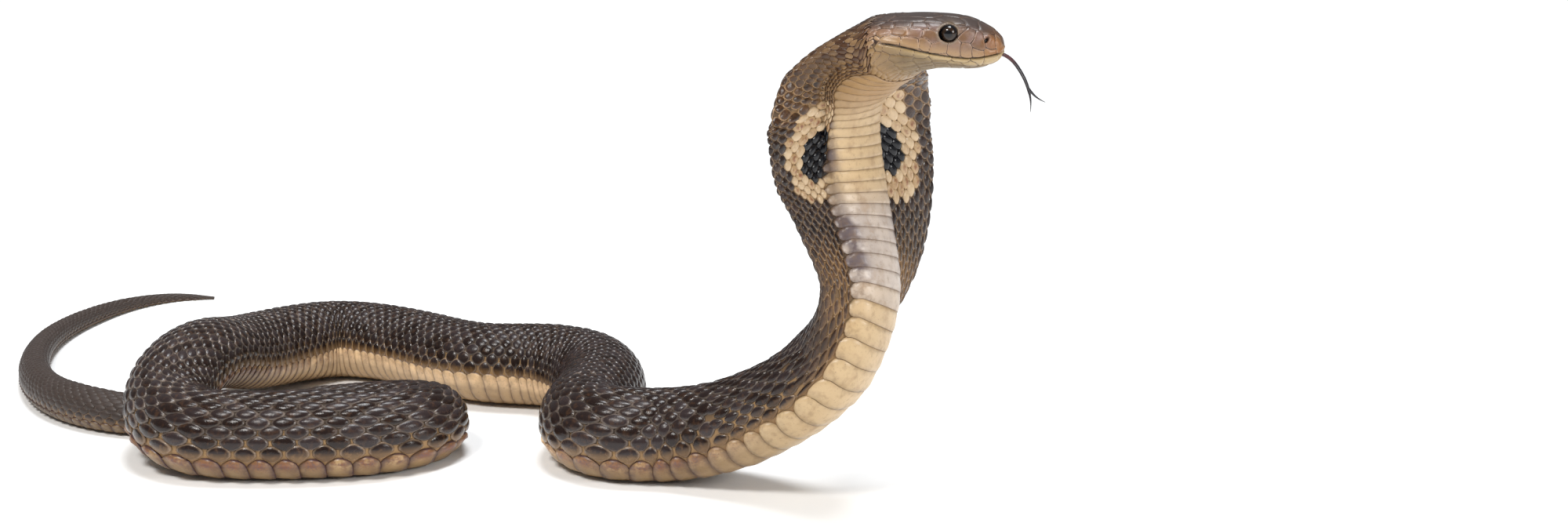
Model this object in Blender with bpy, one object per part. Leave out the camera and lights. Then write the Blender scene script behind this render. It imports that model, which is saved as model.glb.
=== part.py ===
"""Indian cobra, life size, coiled on the floor with its hood raised.

Metres, +Z up. The origin is under the middle of the animal's box, at floor level.
+X is the way the head points, +Y the side away from the open front of the coils.
"""

import math

import bmesh
import bpy
import numpy as np

MM = 0.001
GAP = 0.3 * MM  # space kept between touching pieces

# Route of the body's axis from the tail tip to the snout, in millimetres:
# across, away, height of the belly over the floor, half width of the body.
# Its own zero is under the open front of the coils; ORIGIN_SHIFT moves it to the box's middle.
# Places along the body are given below as stations, counted along this list from 0.
ROUTE = [
    (-303.0, 307.0, 0.0, 0.9),
    (-317.5, 304.9, 0.0, 2.1),
    (-336.0, 291.5, 0.0, 3.4),
    (-352.0, 260.5, 0.0, 4.7),
    (-360.5, 217.9, 0.0, 5.7),
    (-356.3, 168.6, 0.0, 6.8),
    (-341.5, 123.0, 0.0, 8.2),
    (-317.6, 87.0, 0.0, 9.6),
    (-285.5, 67.2, 0.0, 10.5),
    (-251.5, 62.4, 0.0, 11.0),
    (-215.5, 61.0, 0.0, 11.9),
    (-185.3, 59.6, 0.0, 13.1),
    (-161.7, 54.4, 0.0, 14.6),
    (-149.9, 40.5, 0.0, 16.1),
    (-155.0, 23.4, 0.0, 17.6),
    (-173.6, 11.9, 0.0, 18.8),
    (-198.2, 7.7, 0.0, 19.4),
    (-222.9, 7.4, 0.0, 19.5),
    (-244.8, 12.5, 1.4, 19.3),
    (-258.3, 30.3, 5.4, 19.0),
    (-260.2, 56.2, 14.4, 18.8),
    (-255.0, 83.0, 15.4, 19.1),
    (-248.2, 112.7, 7.0, 19.8),
    (-233.6, 143.0, 1.6, 20.0),
    (-210.6, 159.6, 0.0, 19.7),
    (-184.3, 153.6, 0.0, 19.2),
    (-158.0, 134.6, 0.0, 19.1),
    (-133.0, 117.4, 0.0, 19.5),
    (-106.6, 112.0, 0.0, 20.1),
    (-85.3, 95.7, 0.0, 20.2),
    (-79.9, 73.1, 0.0, 19.8),
    (-82.3, 47.6, 0.0, 19.6),
    (-82.3, 23.3, 0.0, 19.8),
    (-69.7, 8.0, 0.0, 20.3),
    (-48.1, 3.8, 0.2, 20.5),
    (-26.2, -4.1, 5.7, 20.2),
    (-6.2, -13.9, 17.2, 19.3),
    (11.2, -23.8, 32.2, 18.5),
    (24.6, -26.5, 50.1, 17.9),
    (31.6, -23.5, 68.3, 17.3),
    (31.0, -18.7, 86.8, 17.3),
    (27.8, -15.2, 106.4, 17.4),
    (25.0, -15.6, 126.0, 17.4),
    (24.5, -18.4, 141.6, 17.3),
    (28.4, -26.6, 154.2, 18.3),
    (36.8, -38.0, 164.4, 19.6),
    (49.2, -46.4, 169.0, 20.6),
    (65.2, -49.4, 168.5, 20.6),
    (82.1, -52.3, 167.0, 20.6),
]
ORIGIN_SHIFT = (134.1 * MM, -121.4 * MM)  # from the route's own zero to the object's
AXIS_SHARE = 0.90  # height of the axis over the belly, as a share of the half height
HEIGHT_SHARE = 0.96  # half height of a round body section against its half width
BELLY_SQUARENESS = 0.80  # power of the lower section, under 1 for a flatter belly
HEAD_FLATTENS = (41.0, 44.2, 0.70)  # stations where the neck flattens to the head's height share
TAIL_PRESSED = (8.9, 1.0, 0.27)  # station, spread and loss of height where the coil lies on it
COIL_PRESSED = (20.6, 2.2, 0.12)  # the same for the coil that lies over the tail

# The way the back faces at stations: up on the floor, tilted on the back run so that some belly
# shows, behind the hood, and up again on the head.
BACK_WAYS = [
    (18.0, (0.0, 0.0, 1.0)),
    (24.0, (0.0, 0.36, 0.93)),
    (27.0, (0.05, 0.32, 0.95)),
    (30.0, (0.0, 0.1, 1.0)),
    (32.0, (0.0, 0.0, 1.0)),
    (33.5, (0.0, 0.0, 1.0)),
    (37.0, (-0.42, 0.34, 0.84)),
    (38.8, (-0.80, 0.54, 0.25)),
    (42.4, (-0.77, 0.64, 0.0)),
    (43.2, (-0.71, 0.64, 0.31)),
    (44.0, (-0.51, 0.86, 0.07)),
    (45.3, (0.0, 0.0, 1.0)),
]

# Hood: stations where it starts to spread, is full, starts to close and is closed.
HOOD_PLACES = (37.55, 41.9, 42.6, 45.65)
HOOD_GROWTH = 0.5  # power of the spread's start, under 1 for an early spread
HOOD_SKEW = 0.19  # how far the right wing reaches up the neck, and the left one down, to its width
HOOD_HALF_WIDTH = 49.4 * MM
HOOD_TIP_ANGLE = 60.0  # angle round the section that lies on the hood's edge
WING_HALF_THICKNESS = 2.6 * MM
WING_SET_BACK = 1.0 * MM  # height of the wings over the axis, towards the back
WING_CUP = 4.2 * MM  # how far the edges lean towards the belly
SPINE_RISE = (5.6 * MM, 16.0 * MM)  # height and spread of the ridge along the back
COLUMN_HALF_WIDTH = 17.0 * MM
COLUMN_DEPTH = 7.5 * MM
COLUMN_SQUARENESS = 0.45

# Belly scutes: the angle where they end, their step, and their length in millimetres at stations.
SCUTE_EDGE_ANGLE = 106.0
SCUTE_STEP = 0.6 * MM
SCUTE_RISE_SHARE = 0.14
SCUTE_LENGTHS = [(0, 4.0), (4, 4.4), (9, 5.6), (12, 8.0), (16, 9.8), (18.5, 9.2), (21.5, 5.2),
                 (30, 4.9), (32, 6.4), (34, 9.4), (36.5, 8.8), (39, 6.4), (48, 5.8)]

# Angles round a section from the middle of the back, in degrees, for one side.
TAIL_ANGLES = (0, 36, 72, 94, 106, 124, 180)
BODY_ANGLES = (0, 24, 48, 70, 90, 106, 116, 146, 180)
HOOD_ANGLES = (0, 18, 34, 48, 60, 70, 82, 94, 106, 116, 146, 180)

# Lengths of the body, each named and ended at a station.
LENGTHS = [
    ("tail_tip", 0, 4, TAIL_ANGLES, "tail_skin"),
    ("tail_curl", 4, 6.4, TAIL_ANGLES, "tail_skin"),
    ("tail_base", 6.4, 9, TAIL_ANGLES, "tail_skin"),
    ("hind_body", 9, 11, BODY_ANGLES, "body_skin"),
    ("hind_bend", 11, 15.3, BODY_ANGLES, "body_skin"),
    ("front_run", 15.3, 17.4, BODY_ANGLES, "body_skin"),
    ("coil_left_front", 17.4, 19.7, BODY_ANGLES, "body_skin"),
    ("coil_left_back", 19.7, 22.0, BODY_ANGLES, "body_skin"),
    ("coil_back_corner", 22.0, 24.4, BODY_ANGLES, "body_skin"),
    ("back_run", 24.4, 27.6, BODY_ANGLES, "body_skin"),
    ("right_bend", 27.6, 30.6, BODY_ANGLES, "body_skin"),
    ("near_bend", 30.6, 33.8, BODY_ANGLES, "body_skin"),
    ("fore_body", 33.8, 36.2, BODY_ANGLES, "body_skin"),
    ("neck", 36.2, 38.6, BODY_ANGLES, "body_skin"),
    ("hood_lower", 38.6, 41.5, HOOD_ANGLES, "hood_skin"),
    ("hood_upper", 41.5, 44.9, HOOD_ANGLES, "hood_skin"),
]

# Head, measured back from the snout along its own axis: place, half width, top, bottom,
# and the height of the mouth, in millimetres from the axis.
HEAD_PROFILE = [
    (0.3, 3.0, 1.8, -1.8, -0.7),
    (1.0, 5.0, 3.6, -3.4, -1.2),
    (2.2, 6.6, 5.1, -4.8, -1.6),
    (4.2, 8.2, 6.7, -6.0, -2.1),
    (7.2, 9.8, 8.2, -7.4, -2.9),
    (11.0, 11.2, 9.7, -8.3, -3.5),
    (15.7, 12.6, 10.7, -8.8, -3.7),
    (21.5, 14.2, 10.8, -9.2, -3.3),
    (28.0, 17.2, 10.5, -10.4, -1.9),
    (34.0, 19.8, 10.7, -11.6, 0.8),
    (40.0, 21.0, 11.6, -12.5, 3.2),
    (46.0, 20.6, 12.1, -13.1, 3.6),
    (52.0, 19.2, 11.4, -13.1, 3.6),
]
NECK_BLEND = (37.0 * MM, 48.0 * MM)  # where the head's section turns into the neck's
HEAD_ROUNDNESS = (2.7, 2.3)  # upper and lower section: 2 is an ellipse, more is squarer
MOUTH_FRONT = 1.2 * MM
MOUTH_CORNER = 37.0 * MM
HEAD_RINGS = (0.3, 0.7, 1.3, 2.0, 3.0, 4.4, 6.0, 7.8, 10.0, 12.4, 15.0, 17.6, 20.2, 22.8, 25.6,
              28.6, 31.8, 34.8)
EYE_RADIUS = 3.5 * MM
EYE_PLACE = (20.5 * MM, 11.3 * MM, 5.1 * MM)  # behind the snout, to the side, above the axis
BROW_RIDGE = (1.0 * MM, 19.5 * MM, 6.0 * MM, 50.0, 15.0)  # rise, place, spread, angle, spread
NOSTRIL_RADIUS = 1.3 * MM
NOSTRIL_PLACE = (6.0 * MM, 8.9 * MM, 3.9 * MM)

# Tongue: half width and half thickness at its root, where it forks, and at its tips.
TINE_SHARE = 0.6  # half width of a tine at its root against the stem's
TONGUE_SIZES = ((1.7, 0.75), (1.5, 0.65), (0.45, 0.40))
TONGUE_STEM = [(-6.0, 0.0, -2.2), (-2.0, 0.0, -1.8), (2.2, 0.0, -3.2), (6.0, 0.0, -6.8),
               (9.2, 0.0, -11.6), (10.9, 0.0, -15.4)]
TONGUE_TINES = [[(10.4, 0.6, -14.0), (11.5, 1.7, -16.8), (12.1, 3.3, -19.4), (12.4, 4.7, -21.6)],
                [(10.4, -0.6, -14.0), (12.6, -1.9, -16.4), (14.8, -4.3, -18.2), (16.6, -6.9, -19.4)]]

# Colours as seen on the live animal, with roughness.
FINISHES = {
    "body_skin": ((0.055, 0.040, 0.032), 0.38),
    "hood_skin": ((0.105, 0.068, 0.042), 0.45),
    "tail_skin": ((0.075, 0.058, 0.050), 0.60),
    "head_skin": ((0.240, 0.150, 0.085), 0.40),
    "jaw_skin": ((0.520, 0.390, 0.220), 0.45),
    "eye": ((0.006, 0.005, 0.005), 0.06),
    "tongue": ((0.020, 0.012, 0.014), 0.30),
}


def natural_spline(knots, values):
    """A function that gives a smooth curve through the values, with no bend at its ends."""
    knots = np.asarray(knots, float)
    values = np.asarray(values, float)
    steps = np.diff(knots)
    slopes = np.diff(values, axis=0) / (steps[:, None] if values.ndim > 1 else steps)
    size = len(knots)
    matrix = np.eye(size)
    right = np.zeros_like(values)
    for i in range(1, size - 1):
        matrix[i, i - 1:i + 2] = steps[i - 1], 2 * (steps[i - 1] + steps[i]), steps[i]
        right[i] = 6 * (slopes[i] - slopes[i - 1])
    bends = np.linalg.solve(matrix, right)

    def curve(at):
        at = np.asarray(at, float)
        i = np.clip(np.searchsorted(knots, at) - 1, 0, size - 2)
        step = steps[i]
        back = (knots[i + 1] - at) / step
        ahead = (at - knots[i]) / step
        if values.ndim > 1:
            step, back, ahead = step[..., None], back[..., None], ahead[..., None]
        return (back * values[i] + ahead * values[i + 1]
                + step ** 2 / 6 * ((back ** 3 - back) * bends[i] + (ahead ** 3 - ahead) * bends[i + 1]))

    return curve


def smooth_step(low, high, at):
    share = np.clip((np.asarray(at, float) - low) / (high - low), 0, 1)
    return share * share * (3 - 2 * share)


def bell(at, middle, spread):
    return np.exp(-((np.asarray(at, float) - middle) / spread) ** 2)


def pressed(station):
    """The share of its height that the body keeps where one length lies on another."""
    kept = 1.0
    for place, spread, loss in (TAIL_PRESSED, COIL_PRESSED):
        kept = kept * (1 - loss * bell(station, place, spread))
    return kept


class Body:
    """The animal's axis, its frames and the size of its sections, by length from the tail tip."""

    def __init__(self, samples=4000):
        rows = np.array(ROUTE, float) * MM
        half_height = rows[:, 3] * HEIGHT_SHARE * pressed(np.arange(len(rows)))
        points = rows[:, :3].copy()
        points[:, 2] += AXIS_SHARE * half_height
        points[:, 0] += ORIGIN_SHIFT[0]
        points[:, 1] += ORIGIN_SHIFT[1]
        chords = np.concatenate([[0], np.cumsum(np.linalg.norm(np.diff(points, axis=0), axis=1))])
        fine = np.linspace(0, chords[-1], samples)
        axis = natural_spline(chords, points)(fine)
        self.places = np.concatenate([[0], np.cumsum(np.linalg.norm(np.diff(axis, axis=0), axis=1))])
        self.length = self.places[-1]
        self.axis = axis
        self.stations = np.interp(fine, chords, np.arange(len(rows)))
        self.width = natural_spline(chords, rows[:, 3])(fine)
        self.lift = np.maximum(natural_spline(chords, rows[:, 2])(fine), 0)
        tangents = np.gradient(axis, self.places, axis=0)
        self.tangents = tangents / np.linalg.norm(tangents, axis=1)[:, None]
        ways = np.array([way for _, way in BACK_WAYS])
        turns = [station for station, _ in BACK_WAYS]
        backs = np.stack([np.interp(self.stations, turns, ways[:, i]) for i in range(3)], axis=1)
        backs -= (backs * self.tangents).sum(1)[:, None] * self.tangents
        self.backs = backs / np.linalg.norm(backs, axis=1)[:, None]
        self.scutes = self.count_scutes()

    def read(self, table, at):
        if table.ndim == 1:
            return np.interp(at, self.places, table)
        return np.stack([np.interp(at, self.places, table[:, i]) for i in range(3)], axis=-1)

    def frame(self, at):
        """The axis point, the way ahead, the back's way and the animal's right, at each place."""
        ahead = self.read(self.tangents, at)
        ahead /= np.linalg.norm(ahead, axis=-1, keepdims=True)
        back = self.read(self.backs, at)
        back -= (back * ahead).sum(-1, keepdims=True) * ahead
        back /= np.linalg.norm(back, axis=-1, keepdims=True)
        return self.read(self.axis, at), ahead, back, np.cross(ahead, back)

    def count_scutes(self):
        stations = [station for station, _ in SCUTE_LENGTHS]
        lengths = [length * MM for _, length in SCUTE_LENGTHS]
        per_metre = 1 / np.interp(self.stations, stations, lengths)
        steps = np.diff(self.places) * (per_metre[1:] + per_metre[:-1]) / 2
        return np.concatenate([[0], np.cumsum(steps)])

    def station(self, at):
        return np.interp(at, self.places, self.stations)

    def place_of(self, station):
        return float(np.interp(station, self.stations, self.places))

    def scute_number(self, at):
        return np.interp(at, self.places, self.scutes)

    def seam_near(self, station):
        """The number of the scute seam nearest to a station."""
        return round(float(self.scute_number(self.place_of(station))))

    def scute_place(self, number):
        return np.interp(number, self.scutes, self.places)

    def hood_share(self, at):
        start, full, closing, closed = HOOD_PLACES
        station = self.station(at)
        growth = smooth_step(start, full, station) ** HOOD_GROWTH
        return growth * (1 - smooth_step(closing, closed, station))

    def half_sizes(self, at):
        width = self.read(self.width, at)
        station = self.station(at)
        start, end, flat_share = HEAD_FLATTENS
        height = width * (HEIGHT_SHARE + smooth_step(start, end, station) * (flat_share - HEIGHT_SHARE))
        return width, height * pressed(station)

    def section(self, at, angle):
        """Places to the side and towards the back, for angles in degrees from the back's middle."""
        angle = np.abs(angle)
        width, height = self.half_sizes(at)
        turn = np.radians(angle)
        squarer = np.where(angle > 90, BELLY_SQUARENESS, 1.0)
        side = width * np.abs(np.sin(turn)) ** squarer
        up = height * np.sign(np.cos(turn)) * np.abs(np.cos(turn)) ** squarer
        share = self.hood_share(at)
        hood_side, hood_up = hood_section(angle)
        return side + share * (hood_side - side), up + share * (hood_up - up)

    def point(self, at, angle, tuck=0.0):
        """A point of the skin. Tuck draws the belly in towards the axis."""
        at, angle = np.broadcast_arrays(np.asarray(at, float), np.asarray(angle, float))
        centre, ahead, back, right = self.frame(at)
        side, up = self.section(at, angle)
        reach = np.sqrt(side ** 2 + up ** 2)
        shrink = np.where(np.abs(angle) > SCUTE_EDGE_ANGLE + 1, 1 - tuck / reach, 1.0)
        side = side * shrink * np.sign(angle + 1e-9)
        up = up * shrink
        reach_up = HOOD_SKEW * self.hood_share(at) * side
        found = centre + side[..., None] * right + up[..., None] * back + reach_up[..., None] * ahead
        found[..., 2] = np.maximum(found[..., 2], self.read(self.lift, at))
        return found


def hood_section(angle):
    """The spread hood's section: a ridged back, thin cupped wings and the belly's raised column."""
    angle = np.asarray(angle, float)
    to_tip = np.clip(angle / HOOD_TIP_ANGLE, 0, 1)
    on_wing = np.clip((angle - HOOD_TIP_ANGLE) / (SCUTE_EDGE_ANGLE - HOOD_TIP_ANGLE), 0, 1)
    on_column = np.clip((angle - SCUTE_EDGE_ANGLE) / (180 - SCUTE_EDGE_ANGLE), 0, 1)
    side = np.where(
        angle <= HOOD_TIP_ANGLE,
        HOOD_HALF_WIDTH * np.sin(to_tip * math.pi / 2),
        np.where(
            angle <= SCUTE_EDGE_ANGLE,
            COLUMN_HALF_WIDTH + (HOOD_HALF_WIDTH - COLUMN_HALF_WIDTH) * np.cos(on_wing * math.pi / 2),
            COLUMN_HALF_WIDTH * np.cos(on_column * math.pi / 2)))
    outward = side / HOOD_HALF_WIDTH
    middle = WING_SET_BACK - WING_CUP * outward ** 2
    thickness = WING_HALF_THICKNESS * np.sqrt(np.clip(1 - outward ** 4, 0, 1))
    ridge = SPINE_RISE[0] * bell(side, 0, SPINE_RISE[1])
    across_column = np.clip(1 - (side / COLUMN_HALF_WIDTH) ** 2, 0, 1)
    column = COLUMN_DEPTH * across_column ** COLUMN_SQUARENESS * (on_column > 0)
    up = np.where(angle <= HOOD_TIP_ANGLE, middle + thickness + ridge, middle - thickness - column)
    return side, up


def both_sides(angles):
    """Angles of a whole ring, from one side's."""
    return list(angles) + [-angle for angle in reversed(angles[1:-1])]


def material(name):
    colour, roughness = FINISHES[name]
    made = bpy.data.materials.new(name)
    made.use_nodes = True
    shader = made.node_tree.nodes["Principled BSDF"]
    shader.inputs["Base Color"].default_value = (*colour, 1)
    shader.inputs["Roughness"].default_value = roughness
    shader.inputs["Metallic"].default_value = 0.0
    made.diffuse_color = (*colour, 1)
    return made


def lofted(rings):
    """A closed mesh through rings of equally many points."""
    mesh = bmesh.new()
    rows = [[mesh.verts.new(point) for point in ring] for ring in rings]
    count = len(rows[0])
    for low, high in zip(rows, rows[1:]):
        for i in range(count):
            j = (i + 1) % count
            mesh.faces.new((low[i], low[j], high[j], high[i]))
    mesh.faces.new(list(reversed(rows[0])))
    mesh.faces.new(rows[-1])
    bmesh.ops.recalc_face_normals(mesh, faces=mesh.faces)
    return mesh


def add_object(name, mesh, finish, collection):
    data = bpy.data.meshes.new(name)
    mesh.to_mesh(data)
    mesh.free()
    data.shade_smooth()
    made = bpy.data.objects.new(name, data)
    if finish:
        data.materials.append(MATERIALS[finish])
    else:
        made.hide_render = True
        made.display_type = "WIRE"
    collection.objects.link(made)
    return made


def combine(target, tool, operation):
    change = target.modifiers.new(tool.name, "BOOLEAN")
    change.object = tool
    change.operation = operation
    change.solver = "EXACT"


def body_length(body, name, start, end, angles, finish):
    """One length of the body, cut at seams between scutes, with its belly scutes as raised steps."""
    ring = both_sides(angles)
    first = body.seam_near(start)
    last = body.seam_near(end)
    rings = []
    for number in range(first, last + 1):
        seam = float(body.scute_place(number))
        if number == first:
            seam += GAP / 2
        if number == last:
            seam -= GAP / 2
        rings.append(body.point(seam, ring, SCUTE_STEP if first < number else 0.0))
        if number < last:
            crest = body.scute_place(number + SCUTE_RISE_SHARE)
            rings.append(body.point(float(crest), ring))
    return add_object(name, lofted(rings), finish, COBRA)


class Head:
    """The head's own frame, and its section at each place back from the snout."""

    def __init__(self, body):
        self.body = body
        table = np.array(HEAD_PROFILE, float) * MM
        self.sizes = natural_spline(table[:, 0], table[:, 1:])

    def frame(self, behind):
        return self.body.frame(self.body.length - behind)

    def place(self, ahead, side, up):
        """A point given ahead of the snout, to the animal's right and above its axis."""
        snout, forward, back, right = self.body.frame(self.body.length)
        return snout + ahead * forward + side * right + up * back

    def outline(self, behind, angle):
        width, top, bottom, _ = self.sizes(behind)
        turn = np.radians(np.abs(angle))
        upper, lower = (2 / value for value in HEAD_ROUNDNESS)
        power = np.where(np.abs(angle) > 90, lower, upper)
        side = width * np.abs(np.sin(turn)) ** power
        reach = np.where(np.abs(angle) > 90, bottom, top)
        up = reach * np.abs(np.cos(turn)) ** power
        rise, place, spread, ridge_angle, ridge_spread = BROW_RIDGE
        ridge = rise * bell(behind, place, spread) * bell(np.abs(angle), ridge_angle, ridge_spread)
        stretch = 1 + ridge / np.sqrt(side ** 2 + up ** 2)
        neck_side, neck_up = self.body.section(self.body.length - behind, angle)
        share = smooth_step(*NECK_BLEND, behind)
        side = side * stretch * (1 - share) + neck_side * share
        up = up * stretch * (1 - share) + neck_up * share
        return side * np.sign(angle + 1e-9), up

    def mouth_angle(self, behind):
        _, top, bottom, mouth = self.sizes(behind)
        if mouth > 0:
            return math.degrees(math.acos((mouth / top) ** (HEAD_ROUNDNESS[0] / 2)))
        return 180 - math.degrees(math.acos((mouth / bottom) ** (HEAD_ROUNDNESS[1] / 2)))

    def ring(self, behind, part):
        """Ring of the whole head, of the head over the mouth, or of the lower jaw."""
        centre, ahead, back, right = self.frame(behind)
        edge = self.mouth_angle(behind)
        upper = [edge * share for share in (0, 0.12, 0.24, 0.36, 0.48, 0.60, 0.72, 0.84, 0.93, 1)]
        lower = [edge + (180 - edge) * share for share in (0.15, 0.4, 0.7, 1)]
        _, _, _, mouth = self.sizes(behind)
        corner_side, _ = self.outline(behind, edge)
        if part == "whole":
            side, up = self.outline(behind, np.array(upper + lower))
        elif part == "over":
            side, up = self.outline(behind, np.array(upper))
            up[-1] = mouth + GAP / 2
            side = np.concatenate([side, corner_side * np.array([0.75, 0.5, 0.25, 0])])
            up = np.concatenate([up, np.full(4, mouth + GAP / 2)])
        else:
            lowest = [edge + (180 - edge) * share for share in (0, 0.12, 0.25, 0.4, 0.6, 0.8, 1)]
            side, up = self.outline(behind, np.array(lowest))
            up[0] = mouth - GAP / 2
            up = np.minimum(up, mouth - GAP / 2)
            side = np.concatenate([[0, corner_side * 0.5], side])
            up = np.concatenate([np.full(2, mouth - GAP / 2), up])
        skew = HOOD_SKEW * self.body.hood_share(self.body.length - behind)
        across = side[:, None] * (right + skew * ahead)
        points = centre + across + up[:, None] * back
        mirrored = centre - across + up[:, None] * back
        return list(points) + list(mirrored[-2:0:-1])


def ball(name, centre, radius, collection, finish=None, detail=(20, 12)):
    mesh = bmesh.new()
    bmesh.ops.create_uvsphere(mesh, u_segments=detail[0], v_segments=detail[1], radius=radius)
    bmesh.ops.translate(mesh, vec=centre, verts=mesh.verts)
    return add_object(name, mesh, finish, collection)


def tapered_tube(head, path, sizes, sides=8, per_stretch=3):
    """A flat tube through points given in the head's frame, in millimetres."""
    path = np.array(path, float) * MM
    points = np.array([head.place(*point) for point in path])
    chords = np.concatenate([[0], np.cumsum(np.linalg.norm(np.diff(points, axis=0), axis=1))])
    curve = natural_spline(chords, points)
    places = np.linspace(0, chords[-1], per_stretch * (len(path) - 1) + 1)
    centres = curve(places)
    ways = np.gradient(centres, places, axis=0)
    _, _, _, right = head.frame(0.0)
    rings = []
    for centre, way, share in zip(centres, ways, places / chords[-1]):
        way = way / np.linalg.norm(way)
        across = right - (right @ way) * way
        across /= np.linalg.norm(across)
        through = np.cross(way, across)
        half_width, half_thickness = (np.array(sizes[0]) * (1 - share) + np.array(sizes[1]) * share) * MM
        turns = np.arange(sides) * 2 * math.pi / sides
        rings.append(centre + np.cos(turns)[:, None] * across * half_width
                     + np.sin(turns)[:, None] * through * half_thickness)
    return lofted(rings)


def make_head(body):
    head = Head(body)
    over_places = [place * MM for place in HEAD_RINGS] + [MOUTH_CORNER - GAP]
    over_rings = [head.ring(place, "over") for place in over_places]
    seam = float(body.scute_place(body.seam_near(LENGTHS[-1][2])))
    rear = body.length - seam - GAP / 2
    full = [head.ring(place, "whole") for place in np.linspace(MOUTH_CORNER, rear, 5)]
    skull = add_object("head", lofted(over_rings + full), "head_skin", COBRA)
    jaw_places = [place for place in over_places[:-1] if place > MOUTH_FRONT] + [MOUTH_CORNER - 2 * GAP]
    jaw_rings = [head.ring(place, "under") for place in jaw_places]
    jaw = add_object("lower_jaw", lofted(jaw_rings), "jaw_skin", COBRA)
    for side, word in ((1, "right"), (-1, "left")):
        behind, across, up = EYE_PLACE
        centre = head.place(-behind, side * across, up)
        socket = ball("socket_" + word, centre, EYE_RADIUS + GAP, CUTTERS)
        combine(skull, socket, "DIFFERENCE")
        ball("eye_" + word, centre, EYE_RADIUS, COBRA, "eye")
        behind, across, up = NOSTRIL_PLACE
        pit = ball("nostril_" + word, head.place(-behind, side * across, up), NOSTRIL_RADIUS, CUTTERS,
                   detail=(12, 8))
        combine(skull, pit, "DIFFERENCE")
    make_tongue(head, skull, jaw)


def make_tongue(head, skull, jaw):
    """The forked tongue, and the notch between the lips that it comes out of."""
    root, fork, tip = TONGUE_SIZES
    notch_size = (root[0] + GAP / MM, root[1] + GAP / MM)
    notch = add_object("tongue_notch", tapered_tube(head, [(-6.5, 0.0, -2.2)] + TONGUE_STEM[1:4],
                                                    (notch_size, notch_size), sides=12), None, CUTTERS)
    combine(skull, notch, "DIFFERENCE")
    combine(jaw, notch, "DIFFERENCE")
    tongue = add_object("tongue", tapered_tube(head, TONGUE_STEM, (root, fork)), "tongue", COBRA)
    tine_root = (fork[0] * TINE_SHARE, fork[1])
    for number, path in enumerate(TONGUE_TINES):
        tine = add_object(f"tine_{number + 1}", tapered_tube(head, path, (tine_root, tip)), None, CUTTERS)
        combine(tongue, tine, "UNION")


for old in list(bpy.data.objects):
    bpy.data.objects.remove(old, do_unlink=True)
COBRA = bpy.data.collections.new("indian_cobra")
CUTTERS = bpy.data.collections.new("cutters")
for collection in (COBRA, CUTTERS):
    bpy.context.scene.collection.children.link(collection)
MATERIALS = {name: material(name) for name in FINISHES}
BODY = Body()
for length in LENGTHS:
    body_length(BODY, *length)
make_head(BODY)
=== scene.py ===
"""Looks of the life-size Indian cobra: one skin, scales and belly scutes over it, eyes and tongue.

Metres, +Z up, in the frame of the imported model. +X is the way the head points.
"""

import math

import bmesh
import bpy
import numpy as np
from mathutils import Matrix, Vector


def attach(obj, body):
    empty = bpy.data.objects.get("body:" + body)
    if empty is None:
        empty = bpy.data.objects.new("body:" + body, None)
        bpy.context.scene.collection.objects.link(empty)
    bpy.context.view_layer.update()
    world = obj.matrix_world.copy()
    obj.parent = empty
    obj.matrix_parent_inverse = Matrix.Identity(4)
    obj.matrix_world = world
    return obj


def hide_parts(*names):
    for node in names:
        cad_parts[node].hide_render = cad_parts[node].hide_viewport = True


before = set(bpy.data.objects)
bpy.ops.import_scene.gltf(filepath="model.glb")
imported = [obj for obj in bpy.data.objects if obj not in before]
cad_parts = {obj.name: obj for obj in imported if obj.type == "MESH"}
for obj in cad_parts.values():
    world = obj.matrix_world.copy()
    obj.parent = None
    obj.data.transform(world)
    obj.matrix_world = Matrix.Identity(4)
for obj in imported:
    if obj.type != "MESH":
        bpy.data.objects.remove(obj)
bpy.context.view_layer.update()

MM = 0.001

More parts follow.
